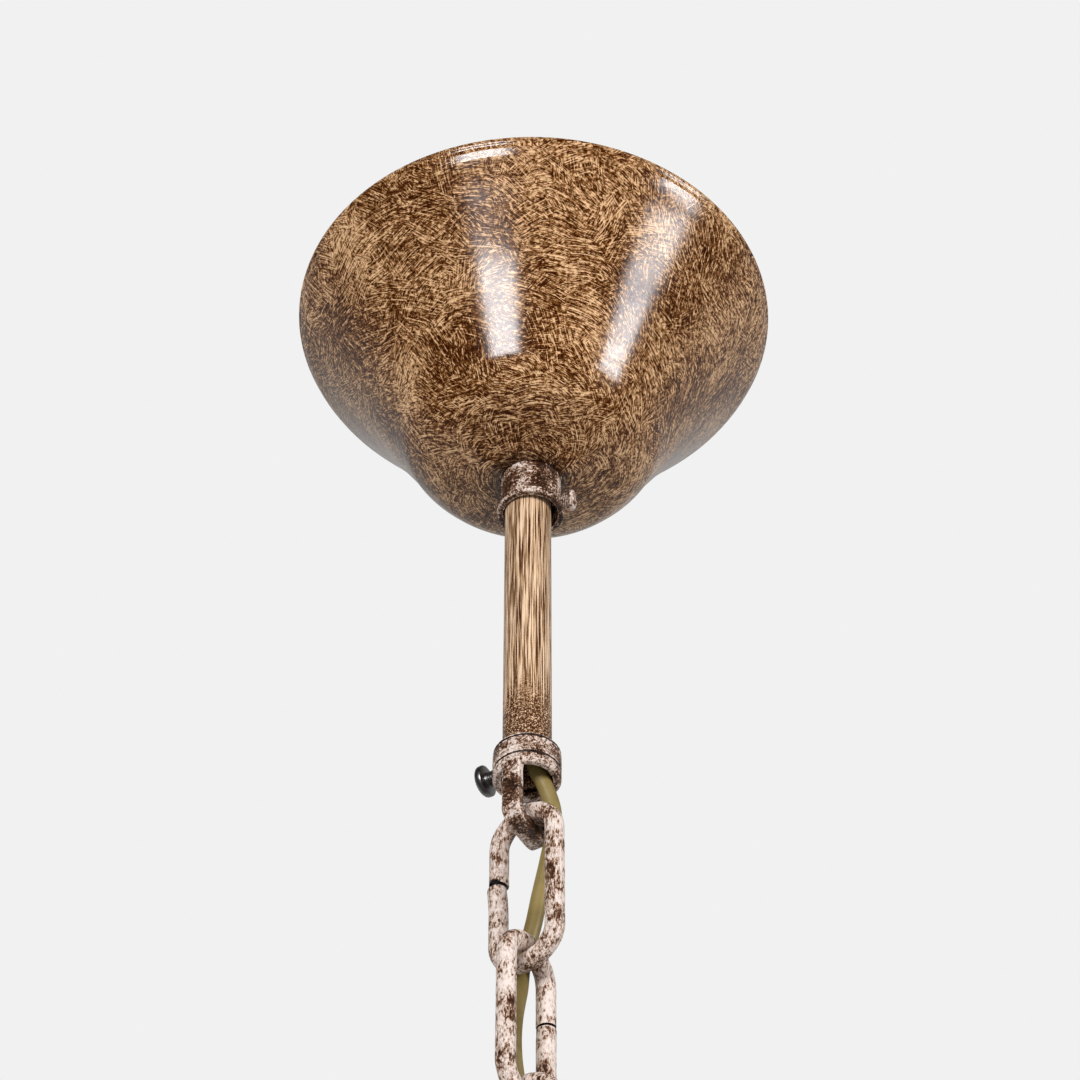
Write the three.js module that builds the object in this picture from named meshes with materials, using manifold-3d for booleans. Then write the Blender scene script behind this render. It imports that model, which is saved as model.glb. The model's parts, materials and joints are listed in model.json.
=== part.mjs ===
// Ceiling suspension of a chandelier. A spun canopy slides on an iron stem, a cast loop collar
// at the stem's foot carries a chain, the supply cable runs down inside the stem and beside the
// chain, and a second loop collar with a short threaded stem takes the lamp.
// Millimetres, +Z up. The origin is the middle of the ceiling plate's top face.

import * as THREE from "three";
import { mergeVertices } from "three/addons/utils/BufferGeometryUtils.js";
import Module from "manifold-3d";

const wasm = await Module();
wasm.setup();

// Clearances
const seatGap = 0.3; // between faces that rest on each other
const threadGap = 0.25; // radial, round a screw thread drawn plain

// Facets round a full turn
const largeRound = 56;
const mediumRound = 32;
const smallRound = 16;
const cordSides = 10;
const coreSides = 8;

// Ceiling plate, which fits inside the canopy's rim, and the yoke riveted under it
const plateEndGap = 3.7; // from the plate's end to the shell's inside
const plateWidth = 22;
const plateThickness = 2.5;
const plateCorner = 4;
const slotLength = 10;
const slotWidth = 5;
const slotInset = 10; // from the plate's end to the middle of the slot
const rivetFromSlot = 5; // from the slot's end to the rivet's middle
const yokeHeight = 28.2;
const yokeSheet = 2;
const yokeFlange = 10;
const yokeBend = 2.5; // inside radius of its bends
const bendSteps = 4;
const rivetRadius = 2;
const rivetHeadRadius = 3.4;
const rivetHeadHeight = 1.8;
const rivetSinkDepth = 1.2; // countersink in the plate's top face

// Stem with its threaded top, and the hardware that holds it in the yoke
const stemRadius = 6;
const stemWall = 1.25;
const threadRadius = 5;
const threadBore = 3.5;
const shoulderLand = 5; // full wall below the thread's shoulder
const nutFlats = 14;
const nutHeight = 5;
const washerRadius = 8.5;
const washerThickness = 0.8;
const washerTeeth = 12;
const washerToothDepth = 1.4;
const threadPastNut = 5;
const stemShowing = 83.8; // between the canopy's collar and the loop collar
const stemInCollar = 6;

// Cord grip screwed on the stem's top
const gripRadius = 7.5;
const gripHeight = 12;
const gripScrewRadius = 1.75;
const gripScrewHead = 2.6;
const gripScrewDrop = 2.9; // from the grip's top to the screw
const sheathPastGrip = 0.5;

// Terminal block with two poles, on the yoke's web
const blockLength = 20;
const blockWidth = 15;
const blockHeight = 12;
const blockLegShare = 0.2; // of the room between washer and leg that lies at the leg
const poleSpacing = 10;
const poleTubeRadius = 2.6;
const poleTubeBore = 1.35;
const poleTubeLength = 12.4;
const poleHeight = 4.6; // from the block's foot to the bore
const poleScrewRadius = 1.5;
const poleScrewSpacing = 6.4;
const poleScrewLength = 6.2;
const fixingScrewRadius = 1.5;
const fixingHeadRadius = 2.7;
const fixingHeadHeight = 1.8;
const fixingScrewTail = 3;

// Earth tag, with its screw and nut, on the yoke's other side
const earthLegShare = 0.63; // of the room between washer and leg that lies at the leg
const earthTagRadius = 3.9;
const earthTagThickness = 0.8;
const earthBarrelRadius = 1.5;
const earthBarrelLength = 5;
const earthScrewRadius = 2;
const earthHeadRadius = 3.8;
const earthHeadHeight = 2.4;
const earthNutFlats = 7;
const earthNutHeight = 3.2;
const earthScrewTail = 1.5;

// Canopy shell, as depths below the top of its rolled rim and radii at those depths
const canopyCeilingGap = 0.7;
const canopyRadius = 64.5;
const canopyHeight = 64.6;
const canopySheet = 1;
const rimRoll = 1.4; // radius of the rolled edge
const rimStep = 0.4; // the wall starts this much inside the roll's middle
const brimInset = 3.2;
const brimDepth = 6.8;
const shoulderRadius = 56.9;
const shoulderDepth = 13;
const flankRadius = 46.5;
const flankDepth = 27.9;
const waistRadius = 37.1;
const waistDepth = 43.1;
const bulbRadius = 32.1;
const bulbDepth = 52.1;
const bulbFootRadius = 24.5;
const bulbFootRise = 5.4; // above the neck
const shellSteps = 14;

// Collar at the canopy's neck. Its clamping screw pulls and tips the canopy to the screw's side.
const canopyTurn = 27; // degrees, from +X to the screw
const canopyTip = 0.5; // degrees
const canopyCollarRadius = 7.85;
const canopyCollarBoreGap = 1.1; // radial, round the stem
const canopyCollarLength = 12.2;
const canopyCollarInside = 3.2; // how far it stands up inside the shell
const canopyCollarLip = 0.95;
const canopyCollarLipHeight = 2;
const canopyRingWidth = 4;
const canopyScrewRadius = 1.5;
const canopyScrewHeadRadius = 2.8;
const canopyScrewHeadHeight = 1.9;
const canopyScrewShowing = 2.3;
const canopyScrewRise = 4.9; // above the collar's foot

// Cast loop collar, used at the stem's foot and, turned over, on the lamp's stem
const castRadius = 8.35;
const castBoreGap = 0.3;
const castHeight = 9.2;
const castBevel = 0.6;
const castGrooveDepth = 0.35;
const castGrooveWidth = 0.8;
const castFirstGroove = 1; // from the bevelled face to each groove's middle
const castSecondGroove = 6.4;
const bailWidth = 4.9;
const bailThickness = 2.5;
const bailFootThickness = 3.3;
const bailDrop = 16.7;
const bailCorner = 4.5;
const bailInset = 0.1; // of the strap's outer face from the collar's
const castScrewRadius = 2;
const castScrewHeadRadius = 4;
const castScrewHeadHeight = 2.6;
const castScrewShowing = 2.6;
const castScrewDrop = 3.7;

// Chain
const linkWireRadius = 2.35;
const linkPitch = 40; // inside length
const linkWidth = 20.5; // outside width
const chainTurn = 4.5; // degrees, the chain hangs turned in the bail
const linkSplit = 0.35; // gap where the bent wire's ends meet
const linkSplitRise = 3; // above the middle of the leg
const linkSteps = 34;
const linkSides = 12;

// Lamp stem under the lower loop collar
const lampStemLength = 14; // below the loop collar
const lampThreadLength = 10;
const couplingFlats = 16;
const couplingHeight = 18;
const connectorRadius = 4.9;
const connectorHeight = 6.8;
const contactRadius = 1.1;
const contactRing = 2.6; // radius on which the contacts stand
const contactRecess = 1.2;
const contactLength = 4;

// Supply cable
const cableRadius = 2;
const coreRadius = 0.65;
const coreRing = 1; // radius on which the cores leave the sheath

// Finishes
const finishes = {
  canopyLacquer: [0x6b4a2b, 0.3, 0.2],
  paintedStem: [0xb08a62, 0.5, 0.1],
  castPatina: [0x9b8378, 0.75, 0.2],
  chainPatina: [0xa8938a, 0.75, 0.2],
  darkScrew: [0x3c3a38, 0.4, 0.9],
  zinc: [0xb5b7b5, 0.4, 0.9],
  brass: [0xb8954a, 0.35, 0.9],
  whitePlastic: [0xe6e2d6, 0.5, 0],
  khakiSheath: [0x8a7440, 0.6, 0],
  brownCore: [0x5a3a24, 0.5, 0],
  blueCore: [0x2f5f9a, 0.5, 0],
  earthCore: [0x6f9a3a, 0.5, 0],
};

// Places along the plate, from its middle
const shellWallStart = canopyRadius - rimRoll - rimStep;
const plateLength = 2 * (shellWallStart - canopySheet - plateEndGap);
const slotPlace = plateLength / 2 - slotInset;
const rivetPlace = slotPlace - slotLength / 2 - rivetFromSlot;
const yokeWebLength = 2 * rivetPlace - yokeFlange;
const legFace = yokeWebLength / 2 - yokeSheet; // inner face of a yoke leg
const blockRoom = legFace - washerRadius - blockWidth;
const blockPlace = legFace - blockLegShare * blockRoom - blockWidth / 2;
const earthRoom = legFace - washerRadius - 2 * earthTagRadius - earthBarrelLength;
const earthPlace = legFace - earthLegShare * earthRoom - earthTagRadius;

// Levels worked out from the sizes above
const plateFoot = -plateThickness;
const yokeTop = plateFoot - seatGap;
const webFoot = yokeTop - yokeHeight;
const webTop = webFoot + yokeSheet;
const lowerNutTop = webFoot - seatGap;
const stemShoulder = lowerNutTop - nutHeight - seatGap;
const washerFoot = webTop + seatGap;
const upperNutFoot = washerFoot + washerThickness + seatGap;
const upperNutTop = upperNutFoot + nutHeight;
const threadTop = upperNutTop + threadPastNut;
const gripFoot = upperNutTop + seatGap;
const gripTop = gripFoot + gripHeight;
const sheathTop = gripTop + sheathPastGrip;
const canopyTop = -canopyCeilingGap;
const neckLevel = canopyTop - canopyHeight;
const canopyCollarFoot = neckLevel - canopyCollarLength;
const castTop = canopyCollarFoot - stemShowing;
const stemFoot = castTop - stemInCollar;
const stemBore = stemRadius - stemWall;
const castBore = stemRadius + castBoreGap;
const bailFoot = castTop - castHeight - bailDrop;
const bailSeat = bailFoot + bailFootThickness;
const canopyCollarBore = stemRadius + canopyCollarBoreGap;
const canopyPull = canopyCollarBoreGap - seatGap - 0.1;

// Chain levels: a link's end bends round the flat bail and meets the bail's two edges
const linkHalf = linkWidth / 2 - linkWireRadius;
const linkRun = linkPitch + 2 * linkWireRadius;
const linkInside = linkHalf - linkWireRadius;
const edgeRise = linkInside - Math.sqrt(linkInside ** 2 - (bailWidth / 2) ** 2);
const linkStep = linkRun - 2 * linkWireRadius - seatGap;
const linkTops = [0, 1, 2].map(
  (i) => bailSeat + edgeRise + seatGap + linkWireRadius - i * linkStep,
);
const chainFoot = linkTops[2] - linkRun;
const lampBailSeat = chainFoot + linkWireRadius + edgeRise + seatGap;
const lampCastEnd = lampBailSeat + bailFootThickness - bailDrop - castHeight;
const lampStemTop = lampCastEnd + stemInCollar;
const lampShoulder = lampCastEnd - lampStemLength;
const couplingTop = lampShoulder - seatGap;
const lampThreadFoot = lampShoulder - lampThreadLength;
const connectorTop = lampThreadFoot - seatGap;
const couplingFoot = couplingTop - couplingHeight;

// Route of the cable, chosen by hand, as stretches of points above or below the level of what
// they pass: down the stem and beside the bail. The cable is cut where it passes from one moving
// piece to the next.
const upperStretches = [
  [sheathTop, [[0, 0, 0]]],
  [stemFoot, [
    [0, 0, 127.3],
    [0, 0, 87.3],
    [0, 0, 47.3],
    [0, 0, 22.3],
    [0.3, 0.1, 13.3],
    [1.1, 0.5, 6.3, "cut"],
    [2, 1.1, 0.5],
    [3, 1.8, -2.3],
    [3.9, 2.9, -5.7],
    [4.7, 4.1, -10.3],
    [4.8, 4.5, -14.7],
    [4.8, 4.5, -19.2],
  ]],
];
// The rest, turned with the chain: behind link one, along the side of link two, behind link
// three and into the lamp's stem
const lowerStretches = [
  [linkTops[0], [
    [3.5, 4.75, -9.32],
    [1.9, 4.8, -15.82],
    [0.3, 4.8, -22.32, "cut"],
    [-1.35, 4.8, -29.82],
    [-2.7, 4.8, -34.32],
    [-4.1, 4.8, -38.32],
    [-4.7, 4.75, -42.82],
  ]],
  [linkTops[1], [
    [-4.75, 4.2, -8.12],
    [-4.75, 3.1, -13.12],
    [-4.75, 2.1, -18.62],
    [-4.75, 1.7, -24.12, "cut"],
    [-4.75, 2.1, -29.62],
    [-4.75, 3.2, -34.62],
    [-4.75, 4.3, -39.12],
    [-4.7, 4.8, -44.12],
  ]],
  [linkTops[2], [
    [-4.2, 4.85, -9.42],
    [-2.9, 4.8, -14.92],
    [-0.8, 4.8, -20.42, "cut"],
    [1.6, 4.8, -26.92],
    [3.8, 4.75, -32.92],
    [4.8, 4.5, -37.92],
  ]],
  [lampCastEnd, [
    [4.8, 4.5, 20.86],
    [4.7, 4.1, 16.46],
    [3.9, 2.9, 11.86],
    [3, 1.8, 8.46],
    [2, 1.1, 5.66, "cut"],
    [1.1, 0.5, -0.14],
    [0.3, 0.1, -7.14],
    [0, 0, -13.34],
  ]],
  [connectorTop, [[0, 0, seatGap]]],
];
// Runs between the points marked as cuts, each with its count of steps
const cableRuns = [
  ["cable_in_stem", 16],
  ["cable_at_bail", 12],
  ["cable_at_link_1", 10],
  ["cable_at_link_2", 10],
  ["cable_at_link_3", 12],
  ["cable_in_lamp_stem", 8],
];

const radians = THREE.MathUtils.degToRad;
const upwards = new THREE.Vector3(0, 0, 1);

// Mesh helpers
function welded(geometry) {
  const bare = geometry.clone();
  bare.deleteAttribute("normal");
  bare.deleteAttribute("uv");
  const merged = mergeVertices(bare, 1e-4);
  const corners = merged.index.array;
  const kept = [];
  for (let i = 0; i < corners.length; i += 3) {
    const [a, b, c] = corners.slice(i, i + 3);
    if (a !== b && b !== c && c !== a) {
      kept.push(a, b, c);
    }
  }
  merged.setIndex(kept);
  return merged;
}

function signedVolume(geometry) {
  const at = geometry.attributes.position;
  const corners = geometry.index.array;
  const [a, b, c] = [new THREE.Vector3(), new THREE.Vector3(), new THREE.Vector3()];
  let sum = 0;
  for (let i = 0; i < corners.length; i += 3) {
    a.fromBufferAttribute(at, corners[i]);
    b.fromBufferAttribute(at, corners[i + 1]);
    c.fromBufferAttribute(at, corners[i + 2]);
    sum += a.dot(b.cross(c));
  }
  return sum / 6;
}

// Closes a geometry's seams and turns its faces outwards
function closed(geometry) {
  const whole = welded(geometry);
  if (signedVolume(whole) < 0) {
    const flipped = [];
    const corners = whole.index.array;
    for (let i = 0; i < corners.length; i += 3) {
      flipped.push(corners[i], corners[i + 2], corners[i + 1]);
    }
    whole.setIndex(flipped);
  }
  whole.computeVertexNormals();
  return whole;
}

function solid(geometry) {
  const whole = closed(geometry);
  return new wasm.Manifold(
    new wasm.Mesh({
      numProp: 3,
      vertProperties: new Float32Array(whole.attributes.position.array),
      triVerts: new Uint32Array(whole.index.array),
    }),
  );
}

function surface(body) {
  const mesh = body.getMesh();
  const geometry = new THREE.BufferGeometry();
  geometry.setAttribute("position", new THREE.BufferAttribute(mesh.vertProperties, 3));
  geometry.setIndex(new THREE.BufferAttribute(mesh.triVerts, 1));
  geometry.computeVertexNormals();
  return geometry;
}

// A base shape less the given tools
function cut(base, tools) {
  return surface(tools.reduce((left, tool) => left.subtract(solid(tool)), solid(base)));
}

// A turned piece about Z from a closed outline of [radius, level] points
function turned(outline, segments = mediumRound) {
  const points = outline.map(([radius, level]) => new THREE.Vector2(radius, level));
  points.push(points[0].clone());
  return closed(new THREE.LatheGeometry(points, segments).rotateX(Math.PI / 2));
}

function rod(radius, foot, top, segments = smallRound) {
  return turned([[0, foot], [radius, foot], [radius, top], [0, top]], segments);
}

function pipe(outer, inner, foot, top, segments = mediumRound) {
  return turned([[inner, foot], [outer, foot], [outer, top], [inner, top]], segments);
}

// Turns a piece about Z so that its +Z end points along +X, or -X
function alongX(geometry, way = 1) {
  return geometry.rotateY((way * Math.PI) / 2);
}

// A flat shape in X and Y, raised from foot by height
function slab(shape, foot, height, curveSegments = 6) {
  const options = { depth: height, bevelEnabled: false, curveSegments };
  return closed(new THREE.ExtrudeGeometry(shape, options).translate(0, 0, foot));
}

function roundedRectangle(length, width, corner) {
  const [x, y] = [length / 2, width / 2];
  const shape = new THREE.Shape();
  shape.moveTo(-x + corner, -y);
  shape.lineTo(x - corner, -y);
  shape.absarc(x - corner, -y + corner, corner, -Math.PI / 2, 0);
  shape.absarc(x - corner, y - corner, corner, 0, Math.PI / 2);
  shape.absarc(-x + corner, y - corner, corner, Math.PI / 2, Math.PI);
  shape.absarc(-x + corner, -y + corner, corner, Math.PI, 1.5 * Math.PI);
  return shape;
}

function slotHole(x, length, width) {
  const half = length / 2 - width / 2;
  const hole = new THREE.Path();
  hole.absarc(x + half, 0, width / 2, -Math.PI / 2, Math.PI / 2);
  hole.absarc(x - half, 0, width / 2, Math.PI / 2, 1.5 * Math.PI);
  return hole;
}

function hexNut(flats, bore, foot, height) {
  const shape = new THREE.Shape();
  for (let i = 0; i < 6; i += 1) {
    const angle = (i * Math.PI) / 3;
    const corner = flats / 2 / Math.cos(Math.PI / 6);
    const to = i === 0 ? "moveTo" : "lineTo";
    shape[to](corner * Math.cos(angle), corner * Math.sin(angle));
  }
  shape.closePath();
  const hole = new THREE.Path();
  hole.absarc(0, 0, bore, 0, 2 * Math.PI);
  shape.holes.push(hole);
  return slab(shape, foot, height, 8);
}

// A screw along +Z: its tip at zero, a plain shank and a low domed head with a cross recess
function pannedScrew(radius, length, headRadius, headHeight) {
  const tip = 0.25 * radius;
  const body = turned([
    [0, 0],
    [radius - tip, 0],
    [radius, tip],
    [radius, length],
    [headRadius, length],
    [headRadius, length + 0.45 * headHeight],
    [0.8 * headRadius, length + 0.82 * headHeight],
    [0.45 * headRadius, length + headHeight],
    [0, length + headHeight],
  ], smallRound);
  const wide = 0.95 * headRadius;
  const narrow = 0.24 * headRadius;
  const deep = 0.5 * headHeight;
  const middle = length + headHeight - deep / 2 + 0.01;
  const blades = [[wide, narrow], [narrow, wide]].map(([x, y]) =>
    new THREE.BoxGeometry(x, y, deep + 0.02).translate(0, 0, middle),
  );
  return cut(body, blades);
}

// A round cord along part of a curve
class CurvePart extends THREE.Curve {
  constructor(whole, from, to) {
    super();
    this.whole = whole;
    this.from = from;
    this.to = to;
  }

  getPoint(t, target = new THREE.Vector3()) {
    return this.whole.getPoint(this.from + (this.to - this.from) * t, target);
  }
}

function roundCord(path, radius, sides, steps) {
  const section = new THREE.Shape();
  for (let i = 0; i < sides; i += 1) {
    const angle = (i * 2 * Math.PI) / sides;
    const to = i === 0 ? "moveTo" : "lineTo";
    section[to](radius * Math.cos(angle), radius * Math.sin(angle));
  }
  section.closePath();
  return closed(new THREE.ExtrudeGeometry(section, { steps, bevelEnabled: false, extrudePath: path }));
}

function material(name) {
  const [color, roughness, metalness] = finishes[name];
  return new THREE.MeshStandardMaterial({ color, roughness, metalness });
}

function piece(parent, name, geometry, finish) {
  const mesh = new THREE.Mesh(geometry, material(finish));
  mesh.name = name;
  parent.add(mesh);
  return mesh;
}

// Ceiling plate: a strip with a screw slot at each end and countersinks for the rivets
function ceilingPlate() {
  const shape = roundedRectangle(plateLength, plateWidth, plateCorner);
  shape.holes.push(slotHole(slotPlace, slotLength, slotWidth));
  shape.holes.push(slotHole(-slotPlace, slotLength, slotWidth));
  const holeRadius = rivetRadius + threadGap;
  const sinkRadius = holeRadius + rivetSinkDepth;
  const tool = turned([
    [0, plateFoot - 1],
    [holeRadius, plateFoot - 1],
    [holeRadius, -rivetSinkDepth],
    [sinkRadius, 0],
    [sinkRadius, 1],
    [0, 1],
  ], smallRound);
  const tools = [rivetPlace, -rivetPlace].map((x) => tool.clone().translate(x, 0, 0));
  return cut(slab(shape, plateFoot, plateThickness), tools);
}

// Yoke: a strip bent down from two flanges to a level web, as a middle line with round corners
function bentStrip(corners, sheet, bend) {
  const points = corners.map(([x, z]) => new THREE.Vector2(x, z));
  const line = [];
  const add = (point, way) => line.push([point, new THREE.Vector2(-way.y, way.x)]);
  const last = points.length - 1;
  const ways = points.slice(1).map((point, i) => point.clone().sub(points[i]).normalize());
  add(points[0], ways[0]);
  for (let i = 1; i < last; i += 1) {
    const [into, away] = [ways[i - 1], ways[i]];
    const middle = points[i].clone().addScaledVector(into, -bend).addScaledVector(away, bend);
    for (let k = 0; k <= bendSteps; k += 1) {
      const [c, s] = [Math.cos((k * Math.PI) / 2 / bendSteps), Math.sin((k * Math.PI) / 2 / bendSteps)];
      const point = middle.clone().addScaledVector(away, -bend * c).addScaledVector(into, bend * s);
      add(point, into.clone().multiplyScalar(c).addScaledVector(away, s));
    }
  }
  add(points[last], ways[last - 1]);
  const side = (sign) => line.map(([point, normal]) =>
    point.clone().addScaledVector(normal, (sign * sheet) / 2),
  );
  return new THREE.Shape([...side(1), ...side(-1).reverse()]);
}

function yoke() {
  const leg = (yokeWebLength - yokeSheet) / 2;
  const out = yokeWebLength / 2 + yokeFlange;
  const high = yokeTop - yokeSheet / 2;
  const low = webFoot + yokeSheet / 2;
  const corners = [[-out, high], [-leg, high], [-leg, low], [leg, low], [leg, high], [out, high]];
  const shape = bentStrip(corners, yokeSheet, yokeBend + yokeSheet / 2);
  const strip = new THREE.ExtrudeGeometry(shape, { depth: plateWidth, bevelEnabled: false });
  strip.rotateX(Math.PI / 2).translate(0, plateWidth / 2, 0);
  const holes = [
    [0, threadRadius, webFoot],
    [-earthPlace, earthScrewRadius, webFoot],
    [blockPlace, fixingScrewRadius, webFoot],
    [rivetPlace, rivetRadius, yokeTop - yokeSheet],
    [-rivetPlace, rivetRadius, yokeTop - yokeSheet],
  ];
  const tools = holes.map(([x, radius, foot]) =>
    rod(radius + threadGap, foot - 1, foot + yokeSheet + 1).translate(x, 0, 0),
  );
  return cut(strip, tools);
}

function rivet(x) {
  const foot = yokeTop - yokeSheet - seatGap;
  const sink = rivetSinkDepth - seatGap;
  return turned([
    [0, foot - rivetHeadHeight],
    [0.6 * rivetHeadRadius, foot - 0.85 * rivetHeadHeight],
    [rivetHeadRadius, foot],
    [rivetRadius, foot],
    [rivetRadius, -rivetSinkDepth],
    [rivetRadius + sink, -seatGap],
    [0, -seatGap],
  ], smallRound).translate(x, 0, 0);
}

// Stem: a tube turned down to a thread at its top
function stem() {
  const land = stemShoulder - shoulderLand;
  return turned([
    [stemBore, stemFoot],
    [stemRadius, stemFoot],
    [stemRadius, stemShoulder],
    [threadRadius, stemShoulder],
    [threadRadius, threadTop],
    [threadBore, threadTop],
    [threadBore, land],
    [stemBore, land - (stemBore - threadBore)],
  ]);
}

// Toothed washer, as a ring with notches round its edge
function toothedWasher() {
  const shape = new THREE.Shape();
  const count = 2 * washerTeeth;
  for (let i = 0; i < count; i += 1) {
    const angle = (i * 2 * Math.PI) / count;
    const radius = i % 2 === 0 ? washerRadius : washerRadius - washerToothDepth;
    const to = i === 0 ? "moveTo" : "lineTo";
    shape[to](radius * Math.cos(angle), radius * Math.sin(angle));
  }
  shape.closePath();
  const hole = new THREE.Path();
  hole.absarc(0, 0, threadRadius + threadGap, 0, 2 * Math.PI);
  shape.holes.push(hole);
  return slab(shape, washerFoot, washerThickness, 8);
}

const gripScrewLevel = gripTop - gripScrewDrop;
const gripScrewTip = cableRadius + seatGap;

function cordGrip() {
  const body = turned([
    [threadRadius + threadGap, gripFoot],
    [gripRadius - 0.8, gripFoot],
    [gripRadius, gripFoot + 0.8],
    [gripRadius, gripTop - 2],
    [gripRadius - 2, gripTop],
    [cableRadius + seatGap, gripTop],
    [cableRadius + seatGap, threadTop + seatGap],
    [threadRadius + threadGap, threadTop + seatGap],
  ]);
  const hole = rod(gripScrewRadius + threadGap, 0, gripRadius + 1);
  return cut(body, [alongX(hole, -1).translate(0, 0, gripScrewLevel)]);
}

function gripScrew() {
  const length = gripRadius + seatGap - gripScrewTip;
  const screw = pannedScrew(gripScrewRadius, length, gripScrewHead, 1.4);
  return alongX(screw, -1).translate(-gripScrewTip, 0, gripScrewLevel);
}

// Terminal block
const blockFoot = webTop + seatGap;
const poleLevel = blockFoot + poleHeight;
const blockTop = blockFoot + blockHeight;

function terminalBlock() {
  const body = slab(roundedRectangle(blockWidth, blockLength, 1.5), blockFoot, blockHeight, 3);
  const tools = [];
  for (const y of [-poleSpacing / 2, poleSpacing / 2]) {
    const bore = rod(poleTubeRadius + threadGap, -blockWidth, blockWidth);
    tools.push(alongX(bore).translate(0, y, poleLevel));
    for (const x of [-poleScrewSpacing / 2, poleScrewSpacing / 2]) {
      tools.push(rod(poleScrewRadius + 2 * threadGap, poleLevel, blockTop + 1).translate(x, y, 0));
    }
  }
  tools.push(rod(fixingScrewRadius + threadGap, blockFoot - 1, blockTop + 1));
  const headSeat = blockTop - fixingHeadHeight - seatGap;
  const headHole = rod(fixingHeadRadius, headSeat, blockTop + 1);
  const flats = new THREE.BoxGeometry(4 * fixingHeadRadius, 2 * fixingScrewRadius + 1, blockHeight);
  tools.push(cut(headHole, [flats.clone().translate(0, 3 * fixingHeadRadius, headSeat)]));
  return cut(body, tools).translate(blockPlace, 0, 0);
}

function poleTube(y) {
  const tube = pipe(poleTubeRadius, poleTubeBore, -poleTubeLength / 2, poleTubeLength / 2, smallRound);
  const tools = [-poleScrewSpacing / 2, poleScrewSpacing / 2].map((x) =>
    rod(poleScrewRadius + threadGap, 0, poleTubeRadius + 1).translate(x, 0, 0),
  );
  return cut(alongX(tube), tools).translate(blockPlace, y, poleLevel);
}

function poleScrew(x, y) {
  const foot = poleLevel + coreRadius + seatGap / 2;
  const body = rod(poleScrewRadius, foot, foot + poleScrewLength, 12);
  const slot = new THREE.BoxGeometry(4 * poleScrewRadius, 0.5, 1.4);
  return cut(body, [slot.translate(0, 0, foot + poleScrewLength)]).translate(blockPlace + x, y, 0);
}

// Earth tag: a ring with a barrel that holds the core's end
function earthTag() {
  const ringShape = new THREE.Shape();
  ringShape.absarc(0, 0, earthTagRadius, 0, 2 * Math.PI);
  const foot = webTop + seatGap;
  const ring = solid(slab(ringShape, foot, earthTagThickness, 10));
  const reach = earthTagRadius + earthBarrelLength;
  const strap = new THREE.BoxGeometry(reach, 2 * coreRadius + 1.2, earthTagThickness);
  strap.translate(reach / 2, 0, foot + earthTagThickness / 2);
  const level = foot + earthBarrelRadius;
  const barrel = alongX(rod(earthBarrelRadius, earthTagRadius + 0.6, reach, 12)).translate(0, 0, level);
  const bore = alongX(rod(coreRadius + seatGap, earthTagRadius + 1.6, reach + 1, 12));
  const hole = rod(earthScrewRadius + threadGap, foot - 1, foot + 2);
  const tag = ring.add(solid(strap)).add(solid(barrel));
  const drilled = tag.subtract(solid(bore.translate(0, 0, level))).subtract(solid(hole));
  return surface(drilled).translate(-earthPlace, 0, 0);
}

const earthHeadFoot = webTop + 2 * seatGap + earthTagThickness;
const earthNutTop = webFoot - seatGap;

function earthScrew() {
  const length = earthHeadFoot - earthNutTop + earthNutHeight + earthScrewTail;
  const screw = pannedScrew(earthScrewRadius, length, earthHeadRadius, earthHeadHeight);
  return screw.translate(-earthPlace, 0, earthHeadFoot - length);
}

function fixingScrew() {
  const headFoot = blockTop - fixingHeadHeight;
  const length = headFoot - webFoot + fixingScrewTail;
  const screw = pannedScrew(fixingScrewRadius, length, fixingHeadRadius - threadGap, fixingHeadHeight);
  return screw.translate(blockPlace, 0, headFoot - length);
}

// Cores above the sheath: two to the block's poles and one to the earth tag
function core(points, sides = coreSides) {
  const route = new THREE.CatmullRomCurve3(points.map((p) => new THREE.Vector3(...p)), false, "centripetal");
  return roundCord(route, coreRadius, sides, 26);
}

const coreStart = sheathTop + seatGap;
const coreHigh = (coreStart + yokeTop) / 2 + 0.6; // where the cores turn over
const blockFace = blockPlace - blockWidth / 2;
const coreDrop = (gripRadius + blockFace) / 2 + 0.4;

function poleCore(side) {
  const y = (side * poleSpacing) / 2;
  const start = coreRing * side;
  return core([
    [0.5, start, coreStart],
    [0.8, 1.1 * start, coreStart + 1.5],
    [2.6, 0.45 * y, coreHigh],
    [0.62 * coreDrop, 0.8 * y, coreHigh],
    [0.93 * coreDrop, y, coreHigh - 3],
    [coreDrop, y, coreHigh - 8],
    [coreDrop, y, poleLevel + 5],
    [coreDrop + 0.8, y, poleLevel + 1.2],
    [blockFace, y, poleLevel],
    [blockPlace - poleScrewSpacing / 2 + 2, y, poleLevel],
  ]);
}

function earthCore() {
  const barrelMouth = -earthPlace + earthTagRadius + earthBarrelLength;
  const level = webTop + seatGap + earthBarrelRadius;
  return core([
    [-coreRing, 0, coreStart],
    [-1.1 * coreRing, 0, coreStart + 1.5],
    [-3, 0, coreHigh],
    [-0.62 * coreDrop, 0, coreHigh],
    [-0.92 * coreDrop, 0, coreHigh - 3.4],
    [-coreDrop, 0, coreHigh - 10],
    [barrelMouth + 1.6, 0, level + 3],
    [barrelMouth + 0.6, 0, level + 0.5],
    [barrelMouth - 1, 0, level],
    [barrelMouth - 2.6, 0, level],
  ]);
}

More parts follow.
